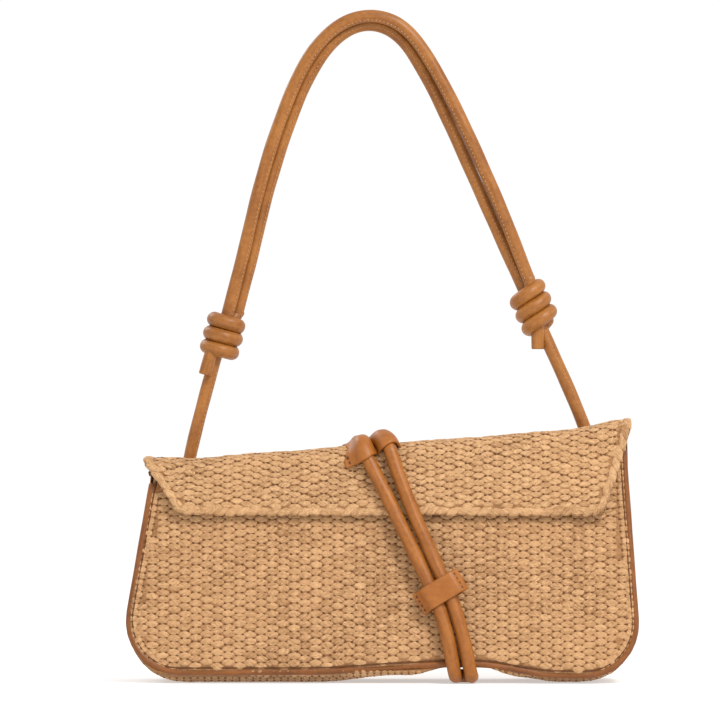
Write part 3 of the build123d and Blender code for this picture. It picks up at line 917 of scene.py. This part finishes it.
def straw_gusset():
    rng = np.random.default_rng(GUSSET_SEED)
    mesh = Mesh()
    total = GUSSET_RUN[-1]
    centres = []
    for run in np.arange(GUSSET_MARGIN, total - GUSSET_MARGIN, PANEL_PITCH):
        for column in range(-GUSSET_COLUMNS, GUSSET_COLUMNS + 1):
            y = column * PANEL_COLUMN
            if abs(y) < gusset_at(run)[2] - GUSSET_MARGIN:
                centres.append((y, run + (column % 2) * PANEL_PITCH / 2))
    centres = np.array(centres)

    def by_depth(y, run, out):
        return gusset_face(run, y / gusset_at(run)[2], out - GUSSET_SINK)

    stitches(mesh, by_depth, centres, PANEL_STITCH, GUSSET_CROWN, rng)
    hole_shades(mesh, by_depth, centres, PANEL_HOLE, PANEL_PITCH, rng)
    run, share = np.linspace(0, total, GUSSET_STEPS)[:, None], np.linspace(-1, 1, GUSSET_WIDE_STEPS)
    # the gusset's backing, painted darker as the shade between its stitches
    mesh.slab(gusset_face(run, share, -GUSSET_GROUND), gusset_face(run, share, -STRAW),
              tone=GROUND_SHADE, finish=1)
    obj = mesh.piece("straw_gusset", STRAW_FRONT, STRAW_GROUND_SHADED, STRAW_HOLE_SHADE)
    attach(obj, "bag")
    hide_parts("gusset")
    return obj


# ---- piping ----
PIPING_STEP, PIPING_SHORT = .002, .001  # the piping stops this far below the mouth


def piping(side, name, node):
    line = resample(rounded(extended(SEAM, MOUTH_HEIGHT - PIPING_SHORT), SEAM_RADII), PIPING_STEP)
    points = face(side, line[:, 0], line[:, 1], -PIPING_DEPTH)
    mesh = round_line(Mesh(), points, PIPING / 2, section=20, swerve=PIPING_SWERVE, seed=side * 3.0)
    obj = mesh.piece(name, PIPING_LEATHER)
    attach(obj, "bag")
    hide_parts(node)
    return obj


# ---- cords ----
def front_point(x, z, out):
    return face(FRONT, x, z, out)


def shifted(route):
    """A route moved with the bag, whose box is centred on the origin."""
    return [(x, y + SHIFT_Y, z) for x, y, z in route]


def closure_route():
    """The whole loop: down the left run, round under the base and up the right one."""
    left = [front_point(*place) for place in CLOSURE_LEFT]
    right = [front_point(*place) for place in reversed(CLOSURE_RIGHT)]
    return [*left, *shifted(CLOSURE_UNDER), *right]


def axis_point(x):
    """The strap's turning axis behind the bag, at that x."""
    return (x, STRAP_Y, z_at(x, TUNNEL_HEIGHT))


def sleeve_frame(route):
    """Where a cord leaves its sleeve, in flat x and z, and the way up along it and across it."""
    (x, z, _), (low_x, low_z, _) = route[:2]
    up = unit(np.array([x - low_x, z - low_z]))
    return np.array([x, z]) + up * CLOSURE_CORD / 2, up, np.array([up[1], -up[0]])


CORD_END_RUNS = (.001, .003, .005, .006)  # places along the sewn-in end
CLOSURE_SWERVE, STRAP_SWERVE, PIPING_SWERVE = .018, .015, .02


def cord_end(route):
    """The sewn-in end of the closure cord, which follows the flap towards its fold."""
    mouth, up, _ = sleeve_frame(route)
    return np.array([flap_face(*(mouth + up * run), route[0][2] - FLAP_OUT) for run in CORD_END_RUNS])


def closure_cord():
    line = spline_points("closure_route", closure_route())
    ends = [cord_end(route) for route in (CLOSURE_LEFT, CLOSURE_RIGHT)]
    full = resample(np.concatenate([ends[0][::-1], line, ends[1]]), LINE_STEP)
    mesh = round_line(Mesh(), full, CLOSURE_CORD / 2, swerve=CLOSURE_SWERVE, groove=pi, seed=1.7)
    obj = mesh.piece("closure_cord_leather", CORD_LEATHER)
    hinge = unit(line[0] - line[-1])
    down = front_point(*CLOSURE_LEFT[1]) - line[0]
    down = unit(down - (down @ hinge) * hinge)
    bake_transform(obj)
    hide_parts("closure_cord", "cord_end_left", "cord_end_right")


THREAD_RADII = np.array([.55, .95, 1, .95, .55])


def thread_stitch(mesh, start, end, radius):
    """One stitch of thread: a short bar with rounded ends."""
    points = start + (end - start) * np.linspace(0, 1, len(THREAD_RADII))[:, None]
    round_line(mesh, points, radius * THREAD_RADII, section=6, cap=.5, finish=1)


SEAM_STEP, SEAM_STITCH, SEAM_THREAD = .0026, .0005, .00034


def seam_stitches(mesh, line, radius, turn_from, turn_to):
    """A row of light stitches along a cord, which turns slowly round it."""
    line = resample(line, SEAM_STEP)
    ahead = headings(line)
    front = unit(ahead * ahead[:, 1:2] - BACK)
    side = np.cross(ahead, front)
    turn = np.linspace(turn_from, turn_to, len(line))[:, None]
    out = np.cos(turn) * front + np.sin(turn) * side
    for place, way, lift in zip(line, ahead, out):
        base = place + lift * radius
        thread_stitch(mesh, base - way * SEAM_STITCH, base + way * SEAM_STITCH, SEAM_THREAD)


SEAM_TURNS = {"left": (radians(50), radians(35)), "right": (radians(35), radians(-50))}
STRAP_STARTS = {"left": TUNNELS["left"][1] + .001, "right": TUNNELS["right"][0] - .001}


def strap_cord(name, node, side, route, groove):
    """One strand of the strap, which bends towards the knot that holds its end.  Returns that end."""
    line = spline_points(name, shifted([axis_point(STRAP_STARTS[side]), *route]))
    mesh = round_line(Mesh(), line, STRAP_CORD / 2, swerve=STRAP_SWERVE, groove=groove, seed=2.0 + groove)
    seam_stitches(mesh, line, STRAP_CORD / 2, *SEAM_TURNS[side])
    obj = mesh.piece(name, STRAP_LEATHER, STRAP_THREAD)
    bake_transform(obj)
    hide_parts(node)
    return line[-1]


# ---- leather made from flat hide ----
EDGE_ROUND = .001  # an edge is rounded over this run
EDGE_SHARES = np.array([0, .15, .5, 1])
EDGE_THIN = .25  # share of the thickness left at the very edge


def edged(low, high, count, edge=EDGE_ROUND):
    """Evenly spaced values with extra ones close to both ends, where an edge is rounded."""
    near = EDGE_SHARES * edge
    middle = np.linspace(low + edge, high - edge, count)[1:-1]
    return np.concatenate([low + near, middle, high - near[::-1]])


def hide(mesh, middle, thick, **facts):
    """A closed sheet of that thickness round a grid of points, with rounded edges."""
    normal = np.cross(np.gradient(middle, axis=0), np.gradient(middle, axis=1))
    normal /= np.linalg.norm(normal, axis=-1, keepdims=True) + TINY
    gaps = []
    for grid in (middle, middle.swapaxes(0, 1)):
        step = np.linalg.norm(np.diff(grid, axis=0), axis=-1)
        run = np.concatenate([0 * step[:1], np.cumsum(step, axis=0)])
        gaps.append(np.minimum(run, run[-1:] - run))
    near = np.clip(np.minimum(gaps[0], gaps[1].T) / (thick / 2), 0, 1)
    half = thick / 2 * np.maximum(np.sqrt(1 - (1 - near) ** 2), EDGE_THIN)
    return mesh.slab(middle + normal * half[..., None], middle - normal * half[..., None], **facts)


# each sleeve: its cord, its two edges across, and how it narrows and drifts towards the fold
SLEEVES = {"left": (CLOSURE_LEFT, -.0130, .0070, .42, .0012),
           "right": (CLOSURE_RIGHT, -.0078, .0076, .10, -.0036)}
SLEEVE_LOW, SLEEVE_HIGH, SLEEVE_THICK = -.0022, .0205, .0017
SLEEVE_ACROSS_STEPS, SLEEVE_ALONG_STEPS = 30, 16
NARROWS_FROM, NARROWS_OVER, DRIFTS_OVER = .001, .011, .012
EAR, EAR_FROM, EAR_WIDE = .0010, .8, .006  # the mouth's corners draw back by this much
ARCH, ARCH_HALF, ARCH_POWER, ARCH_SHOULDER = .0096, .0064, 2.3, .88
ARCH_DROPS = [(.0036, .005, .008), (.0044, .0135, .007)]  # drop, from where and over what run
FLANGE_LEVEL, FLANGE_LEFT, FLANGE_RIGHT = .0014, .0014, .0012
SLEEVE_STITCHES = {"left": (.0012, .0042), "right": ()}
SLEEVE_STITCH_INSET, SLEEVE_STITCH, SLEEVE_THREAD = .0032, .0008, .00055


def sleeve_height(across, along, low, high):
    """Height of the leather over the cord and its two flat edges."""
    arch = ARCH - sum(drop * ease((along - start) / run) for drop, start, run in ARCH_DROPS)
    wide = np.where(across < 0, -low - FLANGE_LEFT, high - FLANGE_RIGHT)
    side = abs(across)
    over = arch * np.sqrt(np.clip(1 - (side / ARCH_HALF) ** ARCH_POWER, 0, 1))
    fall = 1 - ease((side - EDGE_ROUND) / (wide - EDGE_ROUND))
    return np.maximum(over, FLANGE_LEVEL + (arch * ARCH_SHOULDER - FLANGE_LEVEL) * fall)


def cord_sleeve(side):
    """The leather loop over one end of the closure cord, which goes on over the fold."""
    route, low, high, narrowing, drift = SLEEVES[side]
    mouth, up, across = sleeve_frame(route)
    along, over = np.meshgrid(edged(SLEEVE_LOW, SLEEVE_HIGH, SLEEVE_ALONG_STEPS),
                              edged(low, high, SLEEVE_ACROSS_STEPS), indexing="ij")
    narrower = 1 - narrowing * ease((along - NARROWS_FROM) / NARROWS_OVER)
    flare = over * np.where(over < 0, narrower, 1) + drift * ease(along / DRIFTS_OVER)
    ear = np.clip(abs(over) / EAR_WIDE - EAR_FROM, 0, 1) * ease((EAR_WIDE - along) / EAR_WIDE)
    along = along + EAR * ear
    place = mouth[:, None, None] + up[:, None, None] * along + across[:, None, None] * flare
    middle = flap_face(place[0], place[1], sleeve_height(over, along, low, high))
    mesh = hide(Mesh(), middle, SLEEVE_THICK)
    outer = low + SLEEVE_STITCH_INSET
    for run in SLEEVE_STITCHES[side]:
        level = sleeve_height(outer, run, low, high) + SLEEVE_THICK / 2
        ends = [flap_face(*(mouth + up * (run + reach) + across * outer), level)
                for reach in (-SLEEVE_STITCH, SLEEVE_STITCH)]
        thread_stitch(mesh, *ends, SLEEVE_THREAD)
    obj = mesh.piece(f"sleeve_{side}", TRIM_LEATHER, DARK_THREAD)
    across_fold(obj)
    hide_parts(f"cord_sleeve_{side}")
    return obj


KEEPER_ACROSS, KEEPER_ALONG, KEEPER_FRONT, KEEPER_BACK = .030, .0138, .0016, .0013
KEEPER_AT = .664
KEEPER_TILT = radians(6.5)
KEEPER_FIT, KEEPER_BOW = .00035, .0003
KEEPER_ACROSS_STEPS, KEEPER_ALONG_STEPS = 34, 8
SEAM_RIGHT, SEAM_LEFT = .0020, -.0006  # level of the sewn ends, from the cords' middle
FRONT_RIGHT, FRONT_LEFT, FRONT_FALL = .0090, .0080, .0060  # where the cover falls to its seam
BACK_FROM, BACK_FALL = .0084, .0044  # and where the backing rises to it
KEEPER_STITCHES = (-.0046, -.0016, .0014, .0044)
KEEPER_STITCH_INSETS = ((1, .0030), (-1, .0014))
KEEPER_STITCH, KEEPER_STITCH_SINK, KEEPER_THREAD = .0009, .00005, .00058


def keeper_frame():
    """The middle of the keeper, between the two runs of cord, and its three directions."""
    high, low = (front_point(*place) for place in CLOSURE_LEFT[2:])
    beside = front_point(*CLOSURE_RIGHT[2]) - high
    up = unit(high - low)
    centre = high + (low - high) * KEEPER_AT + beside / 2
    across = unit(beside - (beside @ up) * up)
    turned = across * cos(KEEPER_TILT) + up * sin(KEEPER_TILT)
    up = up * cos(KEEPER_TILT) - across * sin(KEEPER_TILT)
    front = np.cross(turned, up)
    return centre, turned, up, front if front[1] < 0 else -front


def keeper():
    """Two strips sewn together at their ends, round both runs of the closure cord."""
    centre, across, up, front = keeper_frame()
    half = KEEPER_ACROSS / 2
    over = CLOSURE_CORD / 2 + KEEPER_FIT + KEEPER_FRONT / 2
    under = -CLOSURE_CORD / 2 - KEEPER_FIT - KEEPER_BACK / 2
    u = edged(-half, half, KEEPER_ACROSS_STEPS)
    v = edged(-KEEPER_ALONG / 2, KEEPER_ALONG / 2, KEEPER_ALONG_STEPS)
    plies = (KEEPER_FRONT + KEEPER_BACK) / 2
    seam = np.where(u > 0, SEAM_RIGHT, SEAM_LEFT)
    falls_from = np.where(u > 0, FRONT_RIGHT, FRONT_LEFT)
    front_rise = over - (over - seam) * ease((abs(u) - falls_from) / FRONT_FALL)
    back_rise = under + (seam - plies - under) * ease((abs(u) - BACK_FROM) / BACK_FALL)
    for name, node, rise, thick in (("keeper_face", "keeper_front", front_rise, KEEPER_FRONT),
                                    ("keeper_rear", "keeper_back", back_rise, KEEPER_BACK)):
        bow = KEEPER_BOW * np.cos(v / KEEPER_ALONG * pi)[:, None] * (1 - (u / half) ** 2)
        middle = (centre + u[None, :, None] * across + v[:, None, None] * up
                  + (rise[None, :] + bow)[..., None] * front)
        mesh = hide(Mesh(), middle, thick)
        if name == "keeper_face":
            for place, (end, inset) in product(KEEPER_STITCHES, KEEPER_STITCH_INSETS):
                reach = end * (half - inset)
                level = np.interp(reach, u, rise) + thick / 2 - KEEPER_STITCH_SINK
                base = centre + reach * across + place * up + level * front
                thread_stitch(mesh, base - KEEPER_STITCH * up, base + KEEPER_STITCH * up, KEEPER_THREAD)
        obj = mesh.piece(name, TRIM_LEATHER, DARK_THREAD)
        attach(obj, "keeper")
        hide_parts(node)


KNOT_PITCH, KNOT_CORD = .0084, .0087
KNOT_TURNS = {"left": 2.8, "right": 3.15}
KNOT_RING = STRAP_CORD / 2 + KNOT_CORD / 2 + .0001
KNOT_ASIDE = .16  # the wraps stand a little towards the strand that they also hold
KNOT_SHARES = {"left": .685, "right": .748}
# each cut end's x and y from the knot's centre, and how far below it the end starts
KNOT_TAILS = {"left": (-.0034, -.0054, .0092), "right": (.0004, -.0040, .0080)}
KNOT_TAIL_RUN = {"left": .0146, "right": .0182}
KNOT_STARTS = {"left": pi * 1.75, "right": pi * 1.55}  # where round the strand the wraps begin
KNOT_DROP = -.0022  # the right knot's wraps stand this far along their strand
TUCK_SHARE, TUCK_IN = .07, .0036  # both ends tuck in under their neighbours
KNOT_STEP, KNOT_STEPS_A_TURN, KNOT_SOFTENING = .0011, 60, 10
HELD_SHARE, TAIL_SHARE = .98, .88  # girth of the held end and of the cut end, to their cords
HELD_BACK = -.1  # the held end starts a little way back up its strand
TAIL_POINTS, HELD_POINTS = 17, 12


def soften(line, passes):
    """A line with its corners smoothed out."""
    line = np.array(line)
    for _ in range(passes):
        line[1:-1] = (line[:-2] + 2 * line[1:-1] + line[2:]) / 4
    return line


def knot(side, route, strand_end):
    """The other strand's end, wound three times round this strand, with its cut end hanging out."""
    low, high = (np.array(place) for place in shifted(route)[1:3])
    axis = unit(high - low)
    centre = low + (high - low) * KNOT_SHARES[side]
    front = unit((BACK @ axis) * axis - BACK)
    right = np.cross(axis, front)
    right = right if right[0] > 0 else -right
    from_axis = strand_end - centre
    turns = KNOT_TURNS[side]
    turn = np.linspace(0, 1, int(KNOT_STEPS_A_TURN * turns))
    angle = KNOT_STARTS[side] + turn * 2 * pi * turns
    if side == "left":       # level across the front, with each step down at the back
        whole, part = np.divmod(angle / (2 * pi), 1)
        fall = KNOT_PITCH * (2 - whole - ease((part - .5) / .5))
    else:                    # one even slant
        fall = KNOT_PITCH * turns * (.5 - turn) + KNOT_DROP
    tuck = ease((turn - 1 + TUCK_SHARE) / TUCK_SHARE) - ease((TUCK_SHARE - turn) / TUCK_SHARE)
    ring = KNOT_RING - TUCK_IN * abs(tuck)
    fall = fall + KNOT_PITCH / 2 * tuck
    aside = (from_axis - (from_axis @ axis) * axis) * KNOT_ASIDE
    wraps = (centre + aside + fall[:, None] * axis
             + ring[:, None] * (np.cos(angle)[:, None] * right + np.sin(angle)[:, None] * front))
    tail_x, tail_y, tail_from = KNOT_TAILS[side]
    drop = np.array([0, 0, -1.0]) if side == "right" else -axis
    tail_top = centre + np.array([tail_x, tail_y, 0]) - axis * tail_from
    tail = tail_top + drop * np.linspace(0, KNOT_TAIL_RUN[side], TAIL_POINTS)[:, None]
    line = resample(soften(resample(wraps, KNOT_STEP), KNOT_SOFTENING), KNOT_STEP)
    mesh = round_line(Mesh(), line, KNOT_CORD / 2, section=28, cap=.5, swerve=.02, seed=5.0)
    held = strand_end + (tail_top - strand_end) * np.linspace(HELD_BACK, 1, HELD_POINTS)[:, None]
    round_line(mesh, held, STRAP_CORD / 2 * HELD_SHARE, section=20, cap=.3, seed=7.0)
    round_line(mesh, tail, KNOT_CORD / 2 * TAIL_SHARE, section=24, cap=.12, swerve=.03, seed=9.0)
    obj = mesh.piece(f"knot_wraps_{side}", STRAP_LEATHER)
    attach(obj, f"knot_{side}")
    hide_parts(f"knot_{side}")
    return obj


TUNNEL_FIT, TUNNEL_TURN, TUNNEL_STEP = .0004, 2.2, .0007
TUNNEL_THICK = LEATHER * .9  # pressed thinner than the flat hide
TUNNEL_LOOP_POINTS, TUNNEL_STEPS, TUNNEL_SOFTENING = 26, 14, 6
# the sewn edges of the tunnel's section, as distance out of the back and height above the axis
TUNNEL_LOW = [(.0010, -.015), (.0010, -.0125), (.0010, -.0095), (.0011, -.0075), (.0016, -.0060)]
TUNNEL_HIGH = [(.0016, .0058), (.0011, .0072), (.0010, .0080), (.0010, .0090)]
TUNNEL_SEAMS = ((-.0118, .0020), (.0076, .0021))  # height above the axis, distance out
TUNNEL_SEAM_INSET, TUNNEL_STITCHES, TUNNEL_STITCH, TUNNEL_THREAD = .0025, 6, .0009, .00045


def strap_tunnel(side):
    """The loop sewn to the back, with the strap's end through it."""
    start, end = TUNNELS[side]
    out_axis = (STRAP_Y - (HALF_DEPTH - TUNNEL_HEIGHT * TAN_L)) * COS_L
    ring = STRAP_CORD / 2 + TUNNEL_FIT + LEATHER / 2
    turns = np.linspace(-TUNNEL_TURN, TUNNEL_TURN, TUNNEL_LOOP_POINTS)
    loop = [(out_axis + ring * cos(turn), ring * sin(turn)) for turn in turns]
    section = resample(TUNNEL_LOW + loop + TUNNEL_HIGH, TUNNEL_STEP)
    section = resample(soften(section, TUNNEL_SOFTENING), TUNNEL_STEP)
    x = edged(start, end, TUNNEL_STEPS)
    tops = TUNNEL_HEIGHT + section[:, 1] * COS_L
    middle = face(REAR, x[:, None], z_at(x[:, None], tops[None]), section[None, :, 0])
    mesh = hide(Mesh(), middle, TUNNEL_THICK)
    places = np.linspace(start + TUNNEL_SEAM_INSET, end - TUNNEL_SEAM_INSET, TUNNEL_STITCHES)
    for (row, rise), place in product(TUNNEL_SEAMS, places):
        spots = [face(REAR, x, z_at(x, TUNNEL_HEIGHT + row * COS_L), rise)
                 for x in (place - TUNNEL_STITCH, place + TUNNEL_STITCH)]
        thread_stitch(mesh, *spots, TUNNEL_THREAD)
    obj = mesh.piece(f"tunnel_{side}", TRIM_LEATHER, THREAD)
    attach(obj, "bag")
    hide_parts(f"strap_tunnel_{side}")
    return obj


STOP_LENGTH, STOP_RADIUS = .006, .0054
STOP_SHARES = np.array([0, .04, .12, .25, .45, .6, .75, .88, .96, 1])
STOP_RADII = np.array([.86, .93, .98, 1, .97, .97, 1, .98, .93, .86])


def strap_stop(side):
    """The turned end that keeps the strap in its tunnel."""
    inner = STRAP_STARTS[side]
    reach = STOP_LENGTH * COS_R * (1 if side == "left" else -1)
    begin, end = (np.array(place) for place in shifted([axis_point(inner), axis_point(inner + reach)]))
    line = begin + (end - begin) * STOP_SHARES[:, None]
    mesh = round_line(Mesh(), line, STOP_RADIUS * STOP_RADII, section=32, cap=.02)
    obj = mesh.piece(f"strap_end_{side}", TRIM_LEATHER)
    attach(obj, "strap")
    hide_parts(f"strap_stop_{side}")
    return obj


BINDING_DEEP, BINDING_THICK, BINDING_INSET = .006, .0008, .003
BINDING_RISE = .0006  # it stands this far off the straw
BINDING_TURN, BINDING_HALF, BINDING_CREST, BINDING_STEP = .0004, .0030, .0001, .0005
BINDING_STEPS, BINDING_SOFTENING = 90, 3
BINDING_SEAM, BINDING_SEAM_STEP, BINDING_STITCH, BINDING_THREAD = .0015, .0045, .0013, .00035


def mouth_binding():
    """Leather folded over the front face's top edge and sewn through."""
    out, top = BINDING_THICK / 2 + BINDING_RISE, MOUTH_HEIGHT + BINDING_THICK / 2
    low, turn, crest = MOUTH_HEIGHT - BINDING_DEEP, MOUTH_HEIGHT - BINDING_TURN, top - BINDING_CREST
    section = [(low, out), (MOUTH_HEIGHT - BINDING_HALF, out), (turn, out), (crest, -BINDING_RISE),
               (top, -STRAW / 2), (crest, BINDING_RISE - STRAW), (turn, -STRAW - out), (low, -STRAW - out)]
    section = resample(soften(resample(section, BINDING_STEP), BINDING_SOFTENING), BINDING_STEP)
    outline = extended(SEAM, MOUTH_HEIGHT)
    x = edged(outline[0][0] + BINDING_INSET, outline[-1][0] - BINDING_INSET, BINDING_STEPS,
              edge=BINDING_RISE)
    middle = face(FRONT, x[:, None], z_at(x[:, None], section[None, :, 0]), section[None, :, 1])
    mesh = hide(Mesh(), middle, BINDING_THICK)
    for place in np.arange(x[0] + BINDING_INSET, x[-1] - BINDING_INSET, BINDING_SEAM_STEP):
        spots = [face(FRONT, x, z_at(x, low + BINDING_SEAM), BINDING_THICK + BINDING_RISE)
                 for x in (place - BINDING_STITCH, place + BINDING_STITCH)]
        thread_stitch(mesh, *spots, BINDING_THREAD)
    obj = mesh.piece("mouth_trim", TRIM_LEATHER, THREAD)
    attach(obj, "bag")
    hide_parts("mouth_binding")
    return obj


# ---- lining ----
CLOTH_STEP, CLOTH_FOLD = .0025, .0005
LINING_INSET, FACING_INSET = .0034, .0040
LINING_LEVEL = -LINING_DEPTH - CLOTH / 2
FACING_LEVEL = -STRAW - CLOTH / 2
LINING_SHORT = .002  # the lining stops this far below the mouth
BAND_SHARE, BAND_STEPS, BAND_WAVES = .93, 17, .03
SNAP_X, SNAP_Z = .002, .112
SNAP_CALM, SNAP_CALM_RUN, SNAP_LIFT = .009, .012, .0003  # the facing lies flat round the snap
FACING_FOLDS = .4
POCKET_GAP, POCKET_HEM, POCKET_STITCH = .0002, .002, .0008
POCKET_WIDE, POCKET_HIGH, POCKET_LOW, POCKET_CORNER = .130, .058, .038, .008


def soft_folds(a, b, seed):
    """Slow shallow waves in a lining, always to the inner side."""
    wave = (np.sin(a * 61 + 4 * np.sin(b * 31 + seed) + seed) + .6 * np.sin(b * 83 - a * 37 + 2.1 * seed)
            + .4 * np.sin(a * 171 + b * 59 + seed))
    return CLOTH_FOLD * (wave / 2 + 1) / 2


def outline_grid(outline, inset):
    """Even columns and rows that fill an outline."""
    lower, upper = chains(outline)
    count = int((lower[-1, 0] - lower[0, 0]) / CLOTH_STEP)
    x = np.linspace(lower[0, 0] + inset, lower[-1, 0] - inset, count)
    low, high = np.interp(x, *lower.T) + inset, np.interp(x, *upper.T) - inset
    share = np.linspace(0, 1, int((high - low).max() / CLOTH_STEP))[:, None]
    return np.broadcast_to(x, (len(share), len(x))), low + np.maximum(high - low, 0) * share


def cloth(name, node, middle, over_the_fold=False, hem=()):
    """One cut piece of lining cloth."""
    mesh = hide(Mesh(), middle, CLOTH)
    for start, end in hem:
        thread_stitch(mesh, start, end, SEAM_THREAD)
    obj = mesh.piece(name, LINING, THREAD)
    if over_the_fold:
        across_fold(obj)
    else:
        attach(obj, "bag")
    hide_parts(node)


def lining_face(side, name, node, seed):
    x, z = outline_grid(seam_outline(MOUTH_HEIGHT - LINING_SHORT), LINING_INSET)
    middle = face(side, x, z, LINING_LEVEL - soft_folds(x, z, seed))
    cloth(name, node, middle)


def lining_band():
    run = GUSSET_RUN[GUSSET_LINE[:, 1] < z_at(GUSSET_LINE[:, 0], MOUTH_HEIGHT - LINING_SHORT)]
    run = np.linspace(run[0], run[-1], int((run[-1] - run[0]) / CLOTH_STEP))[:, None]
    share = np.linspace(-BAND_SHARE, BAND_SHARE, BAND_STEPS)[None]
    middle = gusset_face(run, share, LINING_LEVEL - soft_folds(run, share * BAND_WAVES, 5.0))
    cloth("lining_band", "lining_gusset", middle)


def slip_pocket():
    """A flat open pocket on the back lining, with stitches down its two sides."""
    half = POCKET_WIDE / 2
    x = np.linspace(-half, half, int(POCKET_WIDE / CLOTH_STEP))
    into = np.clip(abs(x) - half + POCKET_CORNER, 0, None)
    corner = POCKET_CORNER - np.sqrt(np.clip(POCKET_CORNER ** 2 - into ** 2, 0, None))
    low, high = (POCKET_LOW + corner) * COS_L, (POCKET_LOW + POCKET_HIGH - corner) * COS_L
    share = np.linspace(0, 1, int(POCKET_HIGH / CLOTH_STEP))[:, None]
    z = low + (high - low) * share
    x = np.broadcast_to(x, z.shape)
    level = LINING_LEVEL - CLOTH - CLOTH_FOLD - POCKET_GAP
    hem = [[face(REAR, x[row, column] + inward, z[row, column] + step, level - CLOTH / 2)
            for step in (-POCKET_STITCH, POCKET_STITCH)]
           for row in range(2, len(share) - 1) for column, inward in ((0, POCKET_HEM), (-1, -POCKET_HEM))]
    middle = face(REAR, x, z, level)
    cloth("pocket", "slip_pocket", middle, hem=hem)


def flap_facing():
    """The cloth under the flap, laid along the flap's face."""
    x, z = outline_grid(flap_outline(), FACING_INSET)
    calm = ease((np.hypot(x - SNAP_X, z - SNAP_Z) - SNAP_CALM) / SNAP_CALM_RUN)
    folds = FACING_FOLDS * calm * soft_folds(x, z, 2.0)
    middle = flap_face(x, z, FACING_LEVEL + SNAP_LIFT * (1 - calm) - folds)
    cloth("facing", "flap_facing", middle, over_the_fold=True)


def finish_nodes():
    """The brass snap halves, which stay as the CAD made them, in their finished material."""
    for name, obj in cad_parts.items():
        if name.startswith("snap"):
            obj.data.materials.clear()
            obj.data.materials.append(BRASS)


# ---- floor, light and camera ----
WHITE = (1, 1, 1, 1)
FLOOR_HALF, FLOOR_COLOUR, FLOOR_GLOW = 6.0, (.56, .55, .54, 1), .46
WORLD_LIGHT = 1.02
LIGHTS_AIM = (0, 0, .12)
LIGHTS = {"key": ((.8, -1.3, 1.5), .45, 30), "rim": ((-.9, .9, 1.0), .6, 5)}  # place, size, watts
CAMERA_AWAY = 3.6  # far off, so the strap behind the face is seen at almost the same scale
VIEW_WIDTH = .4248  # width of the picture at the bag's front face
VIEW_X, FRONT_Y, VIEW_Z = -.0127, -.018, .1906
SENSOR, VIEW_END = 36, 20


def studio():
    """A white floor and a white room, with one main light and one behind."""
    floor = bpy.data.meshes.new("floor")
    corners = [(-1, -1), (1, -1), (1, 1), (-1, 1)]
    floor.from_pydata([(x * FLOOR_HALF, y * FLOOR_HALF, 0) for x, y in corners], [], [(0, 1, 2, 3)])
    floor.materials.append(Nodes("floor_white").set(
        Base_Color=FLOOR_COLOUR, Roughness=.6, Specular_IOR_Level=0, Emission_Color=WHITE,
        Emission_Strength=FLOOR_GLOW))
    linked("floor", floor)
    world = bpy.data.worlds.new("white")
    bpy.context.scene.world = world
    world.use_nodes = True
    colour, strength = world.node_tree.nodes["Background"].inputs[:2]
    colour.default_value, strength.default_value = WHITE, WORLD_LIGHT
    for name, (place, size, power) in LIGHTS.items():
        light = bpy.data.lights.new(name, "AREA")
        light.size, light.energy = size, power
        obj = linked(name, light)
        obj.location = place
        obj.rotation_euler = (Vector(LIGHTS_AIM) - Vector(place)).to_track_quat("-Z", "Y").to_euler()


def camera():
    """The camera straight in front of the bag."""
    lens = bpy.data.cameras.new("camera")
    lens.sensor_width, lens.lens, lens.clip_end = SENSOR, SENSOR * CAMERA_AWAY / VIEW_WIDTH, VIEW_END
    obj = linked("camera", lens)
    obj.location = (VIEW_X, FRONT_Y - CAMERA_AWAY, VIEW_Z)
    obj.rotation_euler = (pi / 2, 0, 0)
    bpy.context.scene.camera = obj
    bpy.context.scene.view_settings.view_transform = "Standard"


# ---- the whole bag ----
right_end = strap_cord("strap_strand_outer", "strap_cord_outer", "left", STRAP_OUTER, pi * .75)
left_end = strap_cord("strap_strand_inner", "strap_cord_inner", "right", STRAP_INNER, -pi * .2)
closure_cord()
straw_front()
straw_flap()
straw_back()
straw_gusset()
piping(FRONT, "piping_front", "front_piping")
piping(REAR, "piping_back", "back_piping")
for half in ("left", "right"):
    cord_sleeve(half)
    strap_tunnel(half)
    strap_stop(half)
keeper()
knot("left", STRAP_OUTER, left_end)
knot("right", STRAP_INNER, right_end)
mouth_binding()
lining_face(FRONT, "lining_face", "lining_front", 1.0)
lining_face(REAR, "lining_rear", "lining_back", 3.0)
lining_band()
slip_pocket()
flap_facing()
finish_nodes()
studio()
camera()


def numbers(box):
    return [[float(v) for v in corner] for corner in box]
